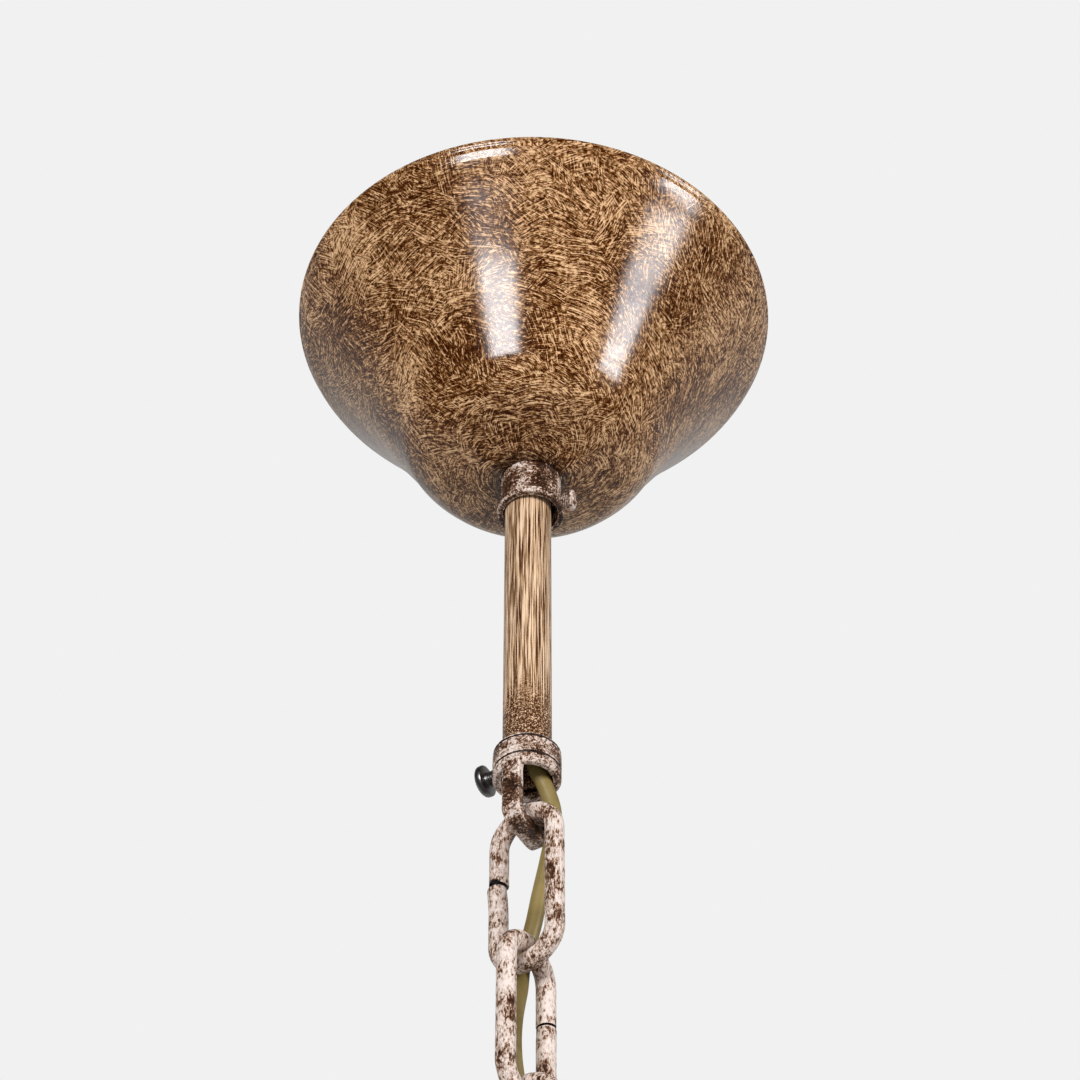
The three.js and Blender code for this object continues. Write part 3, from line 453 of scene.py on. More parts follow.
class Wiring:
    """Adds nodes to a tree and joins their sockets."""

    def __init__(self, tree: Tree) -> None:
        """Keeps the tree."""
        self.tree = tree

    def node(self, kind: str, *inputs: object, **settings: object) -> Node:
        """Adds a node.

        Args:
            kind: Its type without the leading "ShaderNode".
            inputs: Values or sockets for its inputs in order, None to leave one.
            settings: Properties of the node.

        Returns:
            The node.
        """
        made = self.tree.nodes.new("ShaderNode" + kind)
        for key, value in settings.items():
            setattr(made, key, value)
        for socket, value in zip(made.inputs, inputs):
            self.give(socket, value)
        return made

    def give(self, socket: Socket, value: object) -> None:
        """Sets an input to a value or joins a socket to it."""
        if isinstance(value, Socket):
            self.tree.links.new(value, socket)
        elif value is not None:
            socket.default_value = value

    def math(self, operation: str, a: object, b: object = None) -> Socket:
        """Result of a math node."""
        return self.node("Math", a, b, operation=operation).outputs[0]

    def add(self, total: object, *others: object) -> Socket:
        """Sum of values, added one after another."""
        for other in others:
            total = self.math("ADD", total, other)
        return total

    def times(self, a: object, b: object) -> Socket:
        """Product of two values."""
        return self.math("MULTIPLY", a, b)

    def swing(self, value: object, amount: object) -> Socket:
        """A value of 0 to 1 made to swing about zero by an amount."""
        return self.times(self.math("SUBTRACT", value, 0.5), amount)

    def vector(self, operation: str, a: object, b: object = None) -> Socket:
        """Vector result of a vector math node."""
        made = self.node("VectorMath", a, operation=operation)
        if b is not None:
            self.give(made.inputs["Scale"] if operation == "SCALE" else made.inputs[1], b)
        return made.outputs["Value"] if operation in ("DOT_PRODUCT", "LENGTH") else made.outputs[0]

    def mix(self, factor: object, a: object, b: object, blend: str = "MIX") -> Socket:
        """Mixes two colours."""
        made = self.node("Mix", data_type="RGBA", blend_type=blend, clamp_factor=True)
        for socket, value in zip((made.inputs[0], made.inputs[6], made.inputs[7]), (factor, a, b)):
            self.give(socket, value)
        return made.outputs[2]

    def between(
        self, value: object, low: float, high: float, to_low: float = 0.0, to_high: float = 1.0
    ) -> Socket:
        """Maps a value smoothly from one range to another."""
        way = "SMOOTHSTEP"
        return self.node("MapRange", value, low, high, to_low, to_high, interpolation_type=way).outputs[0]

    def noise(
        self, vector: object, scale: object, detail: float = 2.0, rough: float = 0.5, distort: float = 0.0
    ) -> Socket:
        """Height of a noise texture."""
        made = self.node("TexNoise", noise_dimensions="3D")
        keys = ("Vector", "Scale", "Detail", "Roughness", "Distortion")
        for key, value in zip(keys, (vector, scale, detail, rough, distort)):
            self.give(made.inputs[key], value)
        return made.outputs[0]

    def group(self, tree: Tree, **inputs: object) -> bpy.types.NodeOutputs:
        """Places a node group.

        Args:
            tree: The group.
            inputs: Values or sockets by the group's input names.

        Returns:
            The outputs of the group's node.
        """
        made = self.node("Group", node_tree=tree)
        for key, value in inputs.items():
            self.give(made.inputs[key], value)
        return made.outputs

    def ramp(self, value: object, stops: Sequence[tuple[float, tuple]]) -> Socket:
        """Colour of a ramp with stops of (place, screen colour)."""
        made = self.node("ValToRGB", value)
        elements = made.color_ramp.elements
        while len(elements) < len(stops):
            elements.new(0.5)
        for element, (place, colour) in zip(elements, stops):
            element.position = place
            element.color = shade_of(*colour)
        return made.outputs[0]


def shade_of(*screen: int) -> tuple[float, ...]:
    """A red, green and blue of 0 to 255 on screen as an opaque linear colour."""
    return *(v / 255 / 12.92 if v <= 10 else ((v / 255 + 0.055) / 1.055) ** 2.4 for v in screen), 1.0


def effect_group(name: str, inputs: dict[str, object], outputs: Sequence[str]) -> tuple:
    """Makes an empty shader node group.

    Args:
        name: Name of the group.
        inputs: Defaults by input name: a number, a vector, or None for a vector left at zero.
        outputs: Names of the outputs, all of them numbers.

    Returns:
        The group, its Wiring, its input sockets by name and its output sockets by name.
    """
    group = bpy.data.node_groups.new(name, "ShaderNodeTree")
    for label, default in inputs.items():
        kind = "NodeSocketFloat" if isinstance(default, float) else "NodeSocketVector"
        socket = group.interface.new_socket(name=label, in_out="INPUT", socket_type=kind)
        if default is not None:
            socket.default_value = default
    for label in outputs:
        group.interface.new_socket(name=label, in_out="OUTPUT", socket_type="NodeSocketFloat")
    start, end = group.nodes.new("NodeGroupInput"), group.nodes.new("NodeGroupOutput")
    return group, Wiring(group), start.outputs, end.inputs


class Effects:
    """Node groups that several finishes use, each built once."""

    @staticmethod
    @cache
    def speckle() -> Tree:
        """Ragged flecks: inputs Vector and Grain in millimetres, output Height of 0 to 1."""
        group, w, given, out = effect_group("Speckle", {"Vector": None, "Grain": 1.0}, ["Height"])
        size = w.math("DIVIDE", 1.0, given["Grain"])
        broad = w.noise(given["Vector"], size, 5.0, 0.68, 0.35)
        w.give(out["Height"], w.node("MapRange", broad, 0.28, 0.72, 0.0, 1.0).outputs[0])
        return group

    @staticmethod
    @cache
    def grain() -> Tree:
        """Fine surface grain: inputs Vector and Size in millimetres, outputs Height and Tone."""
        group, w, given, out = effect_group("Fine grain", {"Vector": None, "Size": 0.3}, ["Height", "Tone"])
        size = w.math("DIVIDE", 1.0, given["Size"])
        w.give(out["Height"], w.noise(given["Vector"], size, 3.0, 0.6))
        w.give(out["Tone"], w.between(w.noise(given["Vector"], 0.12, 3.0, 0.55), 0.3, 0.7))
        return group

    @staticmethod
    @cache
    def strokes() -> Tree:
        """Dabs of a bristle brush: each cell has its own direction, and its strokes lie along it.

        Inputs: Vector in millimetres, Round and Down along the surface, Dab size, Fineness and
        Length of the strokes, Swing of the direction, Shift to tell layers apart. Output: Value.
        """
        group, w, given, out = effect_group("Bristle strokes", {
            "Vector": None, "Round": (1, 0, 0), "Down": (0, 0, 1), "Dab": 5.0, "Fineness": 2.0,
            "Length": 6.0, "Swing": 1.5, "Shift": None,
        }, ["Value"])
        at = w.vector("ADD", given["Vector"], given["Shift"])
        ragged = w.noise(at, 0.9).node.outputs["Color"]
        wobble = w.vector("SCALE", w.vector("SUBTRACT", ragged, (0.5, 0.5, 0.5)), 3.5)
        cells = w.node("TexVoronoi", voronoi_dimensions="3D", feature="F1")
        w.give(cells.inputs["Vector"], w.vector("ADD", at, wobble))
        w.give(cells.inputs["Scale"], w.math("DIVIDE", 1.0, given["Dab"]))
        local = w.vector("SUBTRACT", at, cells.outputs["Position"])
        chance = w.node("SeparateColor", cells.outputs["Color"]).outputs
        drift = w.swing(w.noise(cells.outputs["Position"], 0.05, 1.0, 0.5), 5.5)
        turn = w.add(w.swing(chance[0], given["Swing"]), drift, 1.15)
        u = w.vector("DOT_PRODUCT", local, given["Round"])
        v = w.vector("DOT_PRODUCT", local, given["Down"])
        cosine, sine = w.math("COSINE", turn), w.math("SINE", turn)
        across = w.times(w.add(w.times(u, cosine), w.times(v, sine)), given["Fineness"])
        along = w.math("SUBTRACT", w.times(v, cosine), w.times(u, sine))
        along = w.times(along, w.math("DIVIDE", given["Fineness"], given["Length"]))
        spot = w.node("CombineXYZ", across, along, w.times(chance[1], 40.0)).outputs[0]
        w.give(out["Value"], w.noise(spot, 1.0, 3.0, 0.6, 0.05))
        return group


class Finish:
    """A finish: makes its material once and dresses pieces with it."""

    slot: Slot
    ready: dict[str, bpy.types.Material] = {}

    def wire(self, w: Wiring, shader: Node, at: Socket) -> None:
        """Wires the shader; each finish has its own."""
        raise NotImplementedError

    def material(self) -> bpy.types.Material:
        """The finish's material, made on first use."""
        key = repr(self)
        if key not in Finish.ready:
            made = bpy.data.materials.new(f"{self.slot.value}_{len(Finish.ready)}")
            made.use_nodes = True
            w = Wiring(made.node_tree)
            shader = made.node_tree.nodes["Principled BSDF"]
            where = w.node("TexCoord").outputs["Object"]
            at = w.vector("SCALE", where, 1000.0)
            self.wire(w, shader, at)
            Finish.ready[key] = made
        return Finish.ready[key]

    def bump(
        self, w: Wiring, shader: Node, height: object, depth: float, strength: float
    ) -> None:
        """Feeds a height in units of depth millimetres to the shader's Normal."""
        made = w.node("Bump")
        made.inputs["Strength"].default_value = strength
        made.inputs["Distance"].default_value = depth * MM
        w.give(made.inputs["Height"], height)
        w.give(shader.inputs["Normal"], made.outputs[0])


@dataclass(frozen=True)
class BristleLacquer(Finish):
    """Brown glaze dabbed over tan with a bristle brush, under a gloss coat, with painted shade round the
    collar.
    """

    slot = Slot.LACQUER
    roughness: float = 0.14
    # size, fineness, length to width and swing of the dabs, layer by layer
    dabs: tuple = ((9.0, 3.8, 20.0, 0.9), (6.0, 4.8, 15.0, 1.6))
    # radius in millimetres within which painted shade darkens the shell round its collar
    collar_shade_reach: float = 12.5

    def wire(self, w: Wiring, shader: Node, at: Socket) -> None:
        """Layers of strokes that turn from patch to patch."""
        normal = w.node("TexCoord").outputs["Normal"]
        round_way = w.node("VectorMath", (0, 0, 1), normal, operation="CROSS_PRODUCT").outputs[0]
        round_way = w.vector("NORMALIZE", round_way)
        down_way = w.node("VectorMath", normal, round_way, operation="CROSS_PRODUCT").outputs[0]
        layers = [
            w.group(
                Effects.strokes(), Vector=at, Round=round_way, Down=down_way, Dab=dab,
                Fineness=fineness, Length=length, Swing=swing, Shift=(17.0 * i, 5.0 * i, 3.0 * i),
            )["Value"]
            for i, (dab, fineness, length, swing) in enumerate(self.dabs)
        ]
        both = w.times(w.add(*layers), 0.5)
        both = w.add(w.times(both, 0.5), w.times(w.math("MAXIMUM", *layers), 0.5))
        fleck = w.noise(at, 1.1, 4.0, 0.7)
        broad = w.noise(at, 0.045, 3.0, 0.6)
        value = w.add(both, w.swing(fleck, 0.45), w.swing(broad, 0.22))
        colour = w.ramp(value, [
            (0.45, (50, 17, 0)),
            (0.50, (96, 51, 13)),
            (0.533, (133, 86, 42)),
            (0.562, (170, 125, 79)),
            (0.602, (238, 196, 150)),
        ])
        # Painted shade: the colour darkens in a ring round the axis, where the collar meets the shell.
        parts = w.node("SeparateXYZ", at).outputs
        reach = w.math("SQRT", w.add(*(w.math("POWER", part, 2.0) for part in parts[:2])))
        reach = w.add(reach, w.swing(fleck, 5.0))
        collar_shade = w.between(reach, self.collar_shade_reach - 4.5, self.collar_shade_reach, 0.75, 0.0)
        colour = w.mix(collar_shade, colour, shade_of(58, 30, 14), "MULTIPLY")
        w.give(shader.inputs["Base Color"], colour)
        shader.inputs["Roughness"].default_value = self.roughness
        self.bump(w, shader, value, 0.05, 0.35)


@dataclass(frozen=True)
class StreakedPaint(Finish):
    """Cream paint dragged lengthwise over brown, with fine speckle at the foot."""

    slot = Slot.STEM
    speckle_foot: float = -146.0
    upside_down: bool = False

    def wire(self, w: Wiring, shader: Node, at: Socket) -> None:
        """Long streaks, mixed to speckle towards the stem's end."""
        parts = w.node("SeparateXYZ", at).outputs
        long = w.node("CombineXYZ", parts[0], parts[1], w.times(parts[2], 0.016)).outputs[0]
        streak = w.noise(long, 2.3, 4.0, 0.65)
        fine = w.noise(w.vector("ADD", long, (9.0, 4.0, 2.0)), 5.2, 2.0, 0.6)
        value = w.add(w.times(streak, 0.55), w.times(fine, 0.55))
        speck = w.noise(at, 2.3, 3.0, 0.7)
        level = w.add(parts[2], w.swing(streak, 30.0))
        way = -1.0 if self.upside_down else 1.0
        foot = w.between(level, self.speckle_foot - 12.0 * way, self.speckle_foot + 10.0 * way)
        both = w.node("Mix", data_type="FLOAT")
        w.give(both.inputs[0], foot)
        w.give(both.inputs[2], w.math("SUBTRACT", speck, 0.02))
        w.give(both.inputs[3], value)
        colour = w.ramp(both.outputs[0], [
            (0.484, (72, 34, 6)),
            (0.53, (155, 115, 75)),
            (0.557, (199, 160, 119)),
            (0.602, (244, 213, 178)),
        ])
        w.give(shader.inputs["Base Color"], colour)
        shader.inputs["Roughness"].default_value = 0.42
        self.bump(w, shader, both.outputs[0], 0.06, 0.5)


@dataclass(frozen=True)
class Patina(Finish):
    """Pale patina rubbed over rusty brown cast iron."""

    slot = Slot.CAST
    pale: float = 0.0
    grain: float = 1.3
    drift: float = 0.9
    stretch: float = 1.0
    worn: float = 0.2
    # levels of the grooves, darkened with painted shade
    groove_shade_levels: tuple[float, ...] = ()
    cut: Optional[float] = None

    def wire(self, w: Wiring, shader: Node, at: Socket) -> None:
        """Dark brown, rust, then islands of cream, by the height of one ragged noise.

        Hollows stay dark and worn edges are pale. Painted shade darkens the grooves and the end faces in a
        link's split.
        """
        drawn = w.vector("MULTIPLY", at, (1.0, 1.0, self.stretch))
        flecks = w.group(Effects.speckle(), Vector=drawn, Grain=self.grain)["Height"]
        fine = w.noise(w.vector("ADD", drawn, (3.0, 8.0, 1.0)), 2.4, 3.0, 0.6)
        drift = w.swing(w.noise(at, 0.16, 2.0, 0.5), self.drift)
        worn = w.between(w.node("NewGeometry").outputs["Pointiness"], 0.43, 0.57, -self.worn, self.worn)
        value = w.add(w.times(flecks, 0.6), self.pale - 0.3, fine, drift, worn)
        level = w.node("SeparateXYZ", at).outputs[2]
        # Painted shade: the value drops along each groove's level, as the shade in the groove.
        for groove in self.groove_shade_levels:
            off = w.math("ABSOLUTE", w.math("SUBTRACT", level, groove))
            value = w.math("SUBTRACT", value, w.between(off, 0.12, 0.5, 0.5, 0.0))
        if self.cut is not None:
            # Painted shade: near the split's level, faces turned up or down are darkened, as the shade in the
            # link's gap.
            facing = w.node("SeparateXYZ", w.node("TexCoord").outputs["Normal"]).outputs[2]
            near = w.between(w.math("ABSOLUTE", w.math("SUBTRACT", level, self.cut)), 2.0, 2.4, 0.9, 0.0)
            split_shade = w.times(near, w.between(w.math("ABSOLUTE", facing), 0.3, 0.6))
            value = w.math("SUBTRACT", value, split_shade)
        colour = w.ramp(value, [
            (0.16, (26, 11, 4)),
            (0.36, (78, 46, 26)),
            (0.47, (118, 80, 52)),
            (0.53, (172, 142, 118)),
            (0.60, (210, 188, 173)),
            (0.82, (244, 228, 217)),
        ])
        w.give(shader.inputs["Base Color"], colour)
        w.give(shader.inputs["Roughness"], w.between(value, 0.4, 0.6, 0.34, 0.64))
        self.bump(w, shader, value, 0.12, 0.7)


@dataclass(frozen=True)
class Grained(Finish):
    """A plain colour whose tone and roughness drift with a fine grain."""

    kind: Slot
    light: tuple[int, int, int]
    dark: tuple[int, int, int]
    roughness: float
    grain: float = 0.25
    metallic: float = 0.0
    # roughness taken off and added by the grain, and the strength of its bump
    smoother: float = 0.05
    rougher: float = 0.08
    relief: float = 0.3

    @property
    def slot(self) -> Slot:
        """The slot it stands for."""
        return self.kind

    def wire(self, w: Wiring, shader: Node, at: Socket) -> None:
        """Tone drift and a fine texture."""
        grain = w.group(Effects.grain(), Vector=at, Size=self.grain)
        w.give(shader.inputs["Base Color"], w.mix(grain["Tone"], shade_of(*self.dark), shade_of(*self.light)))
        shader.inputs["Metallic"].default_value = self.metallic
        low, high = self.roughness - self.smoother, self.roughness + self.rougher
        w.give(shader.inputs["Roughness"], w.between(grain["Height"], 0.2, 0.8, low, high))
        self.bump(w, shader, grain["Height"], 0.02, self.relief)


@dataclass(frozen=True)
class PlainMetal(Grained):
    """Bare or plated metal with fine grain and soft stains."""

    grain: float = 0.35
    metallic: float = 1.0
    smoother: float = 0.07
    rougher: float = 0.1
    relief: float = 0.4


@dataclass(frozen=True)
class EarthStripe(Finish):
    """Green core with a yellow stripe on each side."""

    slot = Slot.EARTH

    def wire(self, w: Wiring, shader: Node, at: Socket) -> None:
        """Stripes by the side that the surface faces."""
        normal = w.node("TexCoord").outputs["Normal"]
        side = w.math("ABSOLUTE", w.node("SeparateXYZ", normal).outputs[1])
        grain = w.group(Effects.grain(), Vector=at, Size=0.2)["Height"]
        stripe = w.between(w.add(side, w.times(grain, 0.04)), 0.62, 0.66)
        w.give(shader.inputs["Base Color"], w.mix(stripe, shade_of(72, 136, 58), shade_of(216, 196, 60)))
        shader.inputs["Roughness"].default_value = 0.45
        self.bump(w, shader, grain, 0.02, 0.3)


ZINC = PlainMetal(Slot.ZINC, (196, 198, 196), (150, 152, 150), 0.34)
BRASS = PlainMetal(Slot.BRASS, (214, 178, 104), (176, 138, 70), 0.3)
DARK_STEEL = PlainMetal(Slot.DARK, (160, 158, 156), (104, 102, 100), 0.32)
PLASTIC = Grained(Slot.PLASTIC, (232, 228, 216), (216, 210, 196), 0.42)
SHEATH = Grained(Slot.SHEATH, (152, 133, 80), (124, 106, 56), 0.4, 0.5)
BROWN = Grained(Slot.BROWN, (104, 68, 42), (84, 54, 34), 0.4)
BLUE = Grained(Slot.BLUE, (62, 112, 178), (48, 94, 156), 0.4)
LACQUER = BristleLacquer()


def stand_in(
    piece: Piece, node: str, finish: Finish, bend: Optional[tuple[str, str, float, float]] = None
) -> None:
    """Lets a piece stand for a CAD node: it hides the node and takes a finish, and moves as the node does
    unless given a bend.

    Args:
        piece: The detailed piece.
        node: Name of the node.
        finish: Its finish.
        bend: For a piece that passes over a joint, the two bodies and the levels in millimetres between which
            it passes from one to the other. Such a piece stays fixed on no body; the bodies are only logged
            and the levels are not used.
    """
    piece.name = node + "_piece"
    piece.data.materials.clear()
    piece.data.materials.append(finish.material())
    if bend:
        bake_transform(piece)
    else:
        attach(piece, BODY_OF[node])
    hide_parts(node)
    log.info("%s stands for %s on %s", piece.name, node, bend[:2] if bend else BODY_OF[node])


def dress_copies(finish: Finish, bevels: dict[str, float]) -> None:
    """Gives nodes fine copies of themselves, each with its own bevel, in one finish."""
    for node, bevel in bevels.items():
        stand_in(fine_copy(node, bevel), node, finish)


# ---------------------------------------------------------------- sub-assemblies


@dataclass
class PanScrew:
    """A screw with a domed cross-recessed head, tip at zero, pointing along -Z."""

    radius: float
    length: float
    head_radius: float
    head_height: float
    pitch: float

    def build(self, place: Matrix) -> Piece:
        """Makes the screw.

        Args:
            place: Transform from the screw's own frame, in millimetres.

        Returns:
            The screw.
        """
        r, length, hr, hh = self.radius, self.length, self.head_radius, self.head_height
        tip, start, end, rim = 0.25 * r, 0.2, length - 0.35, 0.38 * hh
        dome = [math.radians(degrees) for degrees in range(84, 0, -12)]
        outline = [
            (0, 0), (r - tip, 0), (r - 0.4 * tip, 0.5 * start), *thread_outline(r, start, end, self.pitch),
            (r, length - 0.1), (hr - 0.25, length), (hr - 0.07, length + 0.07), (hr, length + 0.22),
            *((hr * math.sin(a), length + rim + (hh - rim) * math.cos(a)) for a in dome), (0, length + hh),
        ]
        screw = lathe(outline, 48, place, thread_wave(r, self.pitch, start, end))
        wide, narrow, deep = 0.95 * hr, 0.22 * hr, 0.5 * hh
        for x, y in ((wide, narrow), (narrow, wide)):
            middle = Matrix.Translation((0, 0, length + hh - deep / 2 + 0.2))
            trim(screw, box_tool(x, y, deep + 0.4, place @ middle), "DIFFERENCE")
        return screw


@dataclass
class Canopy:
    """Spun canopy with its collar, ring and set screw, tipped by the screw."""

    radius: float = 64.5
    height: float = 64.6
    top: float = -0.7
    sheet: float = 1.0
    roll: float = 1.4
    collar_radius: float = 7.85
    band_foot: float = 5.6
    band_end: tuple[float, float] = (63.64, 3.8)
    hollow: float = 3.0
    cove_end: float = -42.0
    # places along the band, and steps along the wall, the cove, the roll and round the turn
    band_places: tuple[float, ...] = (0.06, 0.5, 0.94)
    wall_steps: int = 110
    cove_steps: int = 12
    roll_steps: int = 22
    segments: int = 160

    def place(self) -> Matrix:
        """Transform from the upright canopy to where it hangs."""
        pivot = Matrix.Translation((CANOPY_PULL, 0, CANOPY_PIVOT))
        tip = Matrix.Rotation(math.radians(CANOPY_TIP), 4, "Y")
        return turn_z(CANOPY_TURN) @ pivot @ tip @ Matrix.Translation((0, 0, -CANOPY_PIVOT))

    def wall(self) -> tuple[np.ndarray, np.ndarray]:
        """Radius and depth along the wall's outside, with the outward normals.

        Returns:
            Points and normals as (radius, depth) rows.
        """
        knots = np.array([
            (63.1, 5.0), (61.75, 6.8), (57.0, 13.0), (46.6, 27.6),
            (37.1, 43.1), (32.1, 52.1), (24.5, 59.2), (self.collar_radius + 0.3, self.height),
        ])
        points = []
        last = len(knots) - 1
        for k in range(self.wall_steps + 1):
            whole = last * k / self.wall_steps
            i = min(int(whole), last - 1)
            t = whole - i
            p0, p1, p2, p3 = knots[max(i - 1, 0)], knots[i], knots[i + 1], knots[min(i + 2, last)]
            v0, v1 = (p2 - p0) / 2, (p3 - p1) / 2
            cubic, square = 2 * p1 - 2 * p2 + v0 + v1, 3 * p2 - 3 * p1 - 2 * v0 - v1
            points.append(cubic * t ** 3 + square * t ** 2 + v0 * t + p1)
        points = np.array(points)
        way = np.gradient(points, axis=0)
        normals = np.stack([way[:, 1], -way[:, 0]], 1)
        return points, normals / np.linalg.norm(normals, axis=1, keepdims=True)

    def cove(self, outside: np.ndarray) -> list[tuple[float, float]]:
        """The straight band at the wall's top, and the soft hollow between it and the rolled rim.

        Args:
            outside: The wall's (radius, depth) points.

        Returns:
            Their points.
        """
        start = next(p for p in outside if p[1] > self.band_foot)
        band = np.array(self.band_end)
        straight = [tuple(start + (band - start) * t) for t in self.band_places]
        hollow, angle = math.radians(self.hollow), math.radians(self.cove_end)
        way = np.array((math.sin(hollow), -math.cos(hollow)))
        middle = np.array((self.radius - self.roll, self.roll))
        end = middle + self.roll * np.array((math.cos(angle), -math.sin(angle)))
        along = np.array((-math.sin(angle), -math.cos(angle)))
        corner = band + way * np.linalg.solve(np.stack([way, along], 1), end - band)[0]
        parts = [i / self.cove_steps for i in range(self.cove_steps)]
        bend = [tuple((1 - t) ** 2 * band + 2 * t * (1 - t) * corner + t * t * end) for t in parts]
        return straight + bend

    def shell(self) -> Piece:
        """The spun shell with its rolled rim."""
        outside, normals = self.wall()
        mouth = outside[0, 0] - self.sheet
        inside = outside - normals * self.sheet
        inside[:, 0] = np.minimum(inside[:, 0], mouth)
        inside[0] = (mouth, outside[0, 1])
        inside[-1] = (outside[-1, 0], self.height - self.sheet)
        steps, span = self.roll_steps, 90 - self.cove_end
        turns = [math.radians(self.cove_end + span * i / steps) for i in range(steps + 1)]
        depths = [
            *inside, *(p for p in outside[::-1] if p[1] > self.band_foot), *self.cove(outside),
            *((self.radius - self.roll + self.roll * math.cos(a), self.roll - self.roll * math.sin(a))
              for a in turns),
            (mouth + 0.3, 0.0), (mouth, 0.3),
        ]
        return lathe([(r, self.top - d) for r, d in depths], self.segments, self.place())

    def build(self) -> None:
        """Makes and dresses the canopy's pieces."""
        stand_in(self.shell(), "canopy_shell", LACQUER)
        collar = cast_copy("canopy_collar", voxel=0.16, rounding=3, rough=0.12, seed=4.0)
        stand_in(collar, "canopy_collar", Patina(pale=-0.13, grain=0.8, drift=1.2, worn=0.3))
        dress_copies(ZINC, {"canopy_ring": 0.25})
        tip = STEM_RADIUS - CANOPY_PULL + 0.3
        screw = PanScrew(1.5, self.collar_radius + 2.3 - tip, 2.8, 1.9, 0.5)
        along = Matrix.Translation((tip, 0, CANOPY_PIVOT)) @ Matrix.Rotation(math.pi / 2, 4, "Y")
        stand_in(screw.build(self.place() @ along), "canopy_screw", ScrewPatina())


@dataclass
class Stem:
    """Painted tube with a threaded top, held in the yoke by two nuts and a washer."""

    foot: float = -167.3
    shoulder: float = -36.6
    thread_top: float = -17.6
    pitch: float = 1.0

    def build(self) -> None:
        """Makes and dresses the stem and its nuts."""
        tube = threaded_tube(self.foot, self.shoulder, self.thread_top, self.pitch)
        stand_in(tube, "stem", StreakedPaint())
        for nut in ("stem_nut_lower", "stem_nut_upper"):
            stand_in(hex_nut(nut, 14.0), nut, ZINC)
        dress_copies(ZINC, {"stem_washer": 0.1})


def threaded_tube(plain: float, shoulder: float, tip: float, pitch: float) -> Piece:
    """A tube with a plain end and a thinner threaded end.

    Args:
        plain: Level of the plain end.
        shoulder: Level of the step down to the thread.
        tip: Level of the threaded end.
        pitch: Rise of the thread in one turn.

    Returns:
        The tube.
    """
    way = math.copysign(1.0, tip - plain)
    land, end = shoulder - 5 * way, tip - 0.4 * way
    outline = [
        (STEM_BORE, plain + 0.2 * way), (STEM_BORE + 0.2, plain),
        (STEM_RADIUS - CHAMFER, plain), (STEM_RADIUS, plain + CHAMFER * way),
        (STEM_RADIUS, shoulder - CHAMFER * way), (STEM_RADIUS - CHAMFER, shoulder),
        *thread_outline(THREAD_RADIUS, shoulder, end, pitch),
        (THREAD_RADIUS - 0.5, tip), (THREAD_BORE + 0.2, tip), (THREAD_BORE, tip - 0.2 * way),
        (THREAD_BORE, land), (STEM_BORE, land - (STEM_BORE - THREAD_BORE) * way),
    ]
    wave = thread_wave(THREAD_RADIUS, pitch, min(shoulder, end), max(shoulder, end))
    return lathe(outline, 72, wave=wave)


def hex_nut(node: str, flats: float) -> Piece:
    """A nut with turned chamfers in the place of a CAD node.

    Args:
        node: Name of the node.
        flats: Width across flats.

    Returns:
        The nut.
    """
    low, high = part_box(node)
    middle = (low + high) / 2 / MM
    foot, top = low.z / MM, high.z / MM
    face, corner = flats / 2 * 0.95, flats / math.sqrt(3)
    fall = (corner - face) * 0.58
    drum = lathe([
        (0, foot - 1), (face, foot - 1), (face, foot), (corner + 0.1, foot + 0.1 + fall),
        (corner + 0.1, top - 0.1 - fall), (face, top), (face, top + 1), (0, top + 1),
    ], 72, Matrix.Translation((middle.x, middle.y, 0)))
    nut = fine_copy(node, 0.08)
    trim(nut, drum, "INTERSECT", CRISP_NUT)
    return nut


@dataclass
class LoopCasting:
    """Cast loop collar with its bail and its set screw."""

    node: str
    screw_node: str
    place: Matrix
    seed: float
    # level of its closed end, and 1 where it hangs down from there or -1 where it stands up
    end: float
    down: int
    drop: float = 3.7
    tip: float = 6.3
    length: float = 4.65

    def build(self) -> None:
        """Makes and dresses the casting and its screw."""
        foot = self.end - self.down * CAST_HEIGHT
        low, high = sorted(foot - self.down * reach for reach in STRAP)
        casting = cast_copy(self.node, 0.14, rounding=7, rough=0.09, seed=self.seed, strap=(low, high))
        groove_shade_levels = tuple(self.end - self.down * drop for drop in GROOVE_DROPS)
        stand_in(casting, self.node, Patina(pale=-0.03, grain=1.0, drift=1.3, worn=0.3, groove_shade_levels=groove_shade_levels))
        screw = PanScrew(2.0, self.length, 4.0, 2.6, 0.7)
        along = Matrix.Translation((-self.tip, 0, -self.drop)) @ Matrix.Rotation(-math.pi / 2, 4, "Y")
        stand_in(screw.build(self.place @ along), self.screw_node, DARK_STEEL)


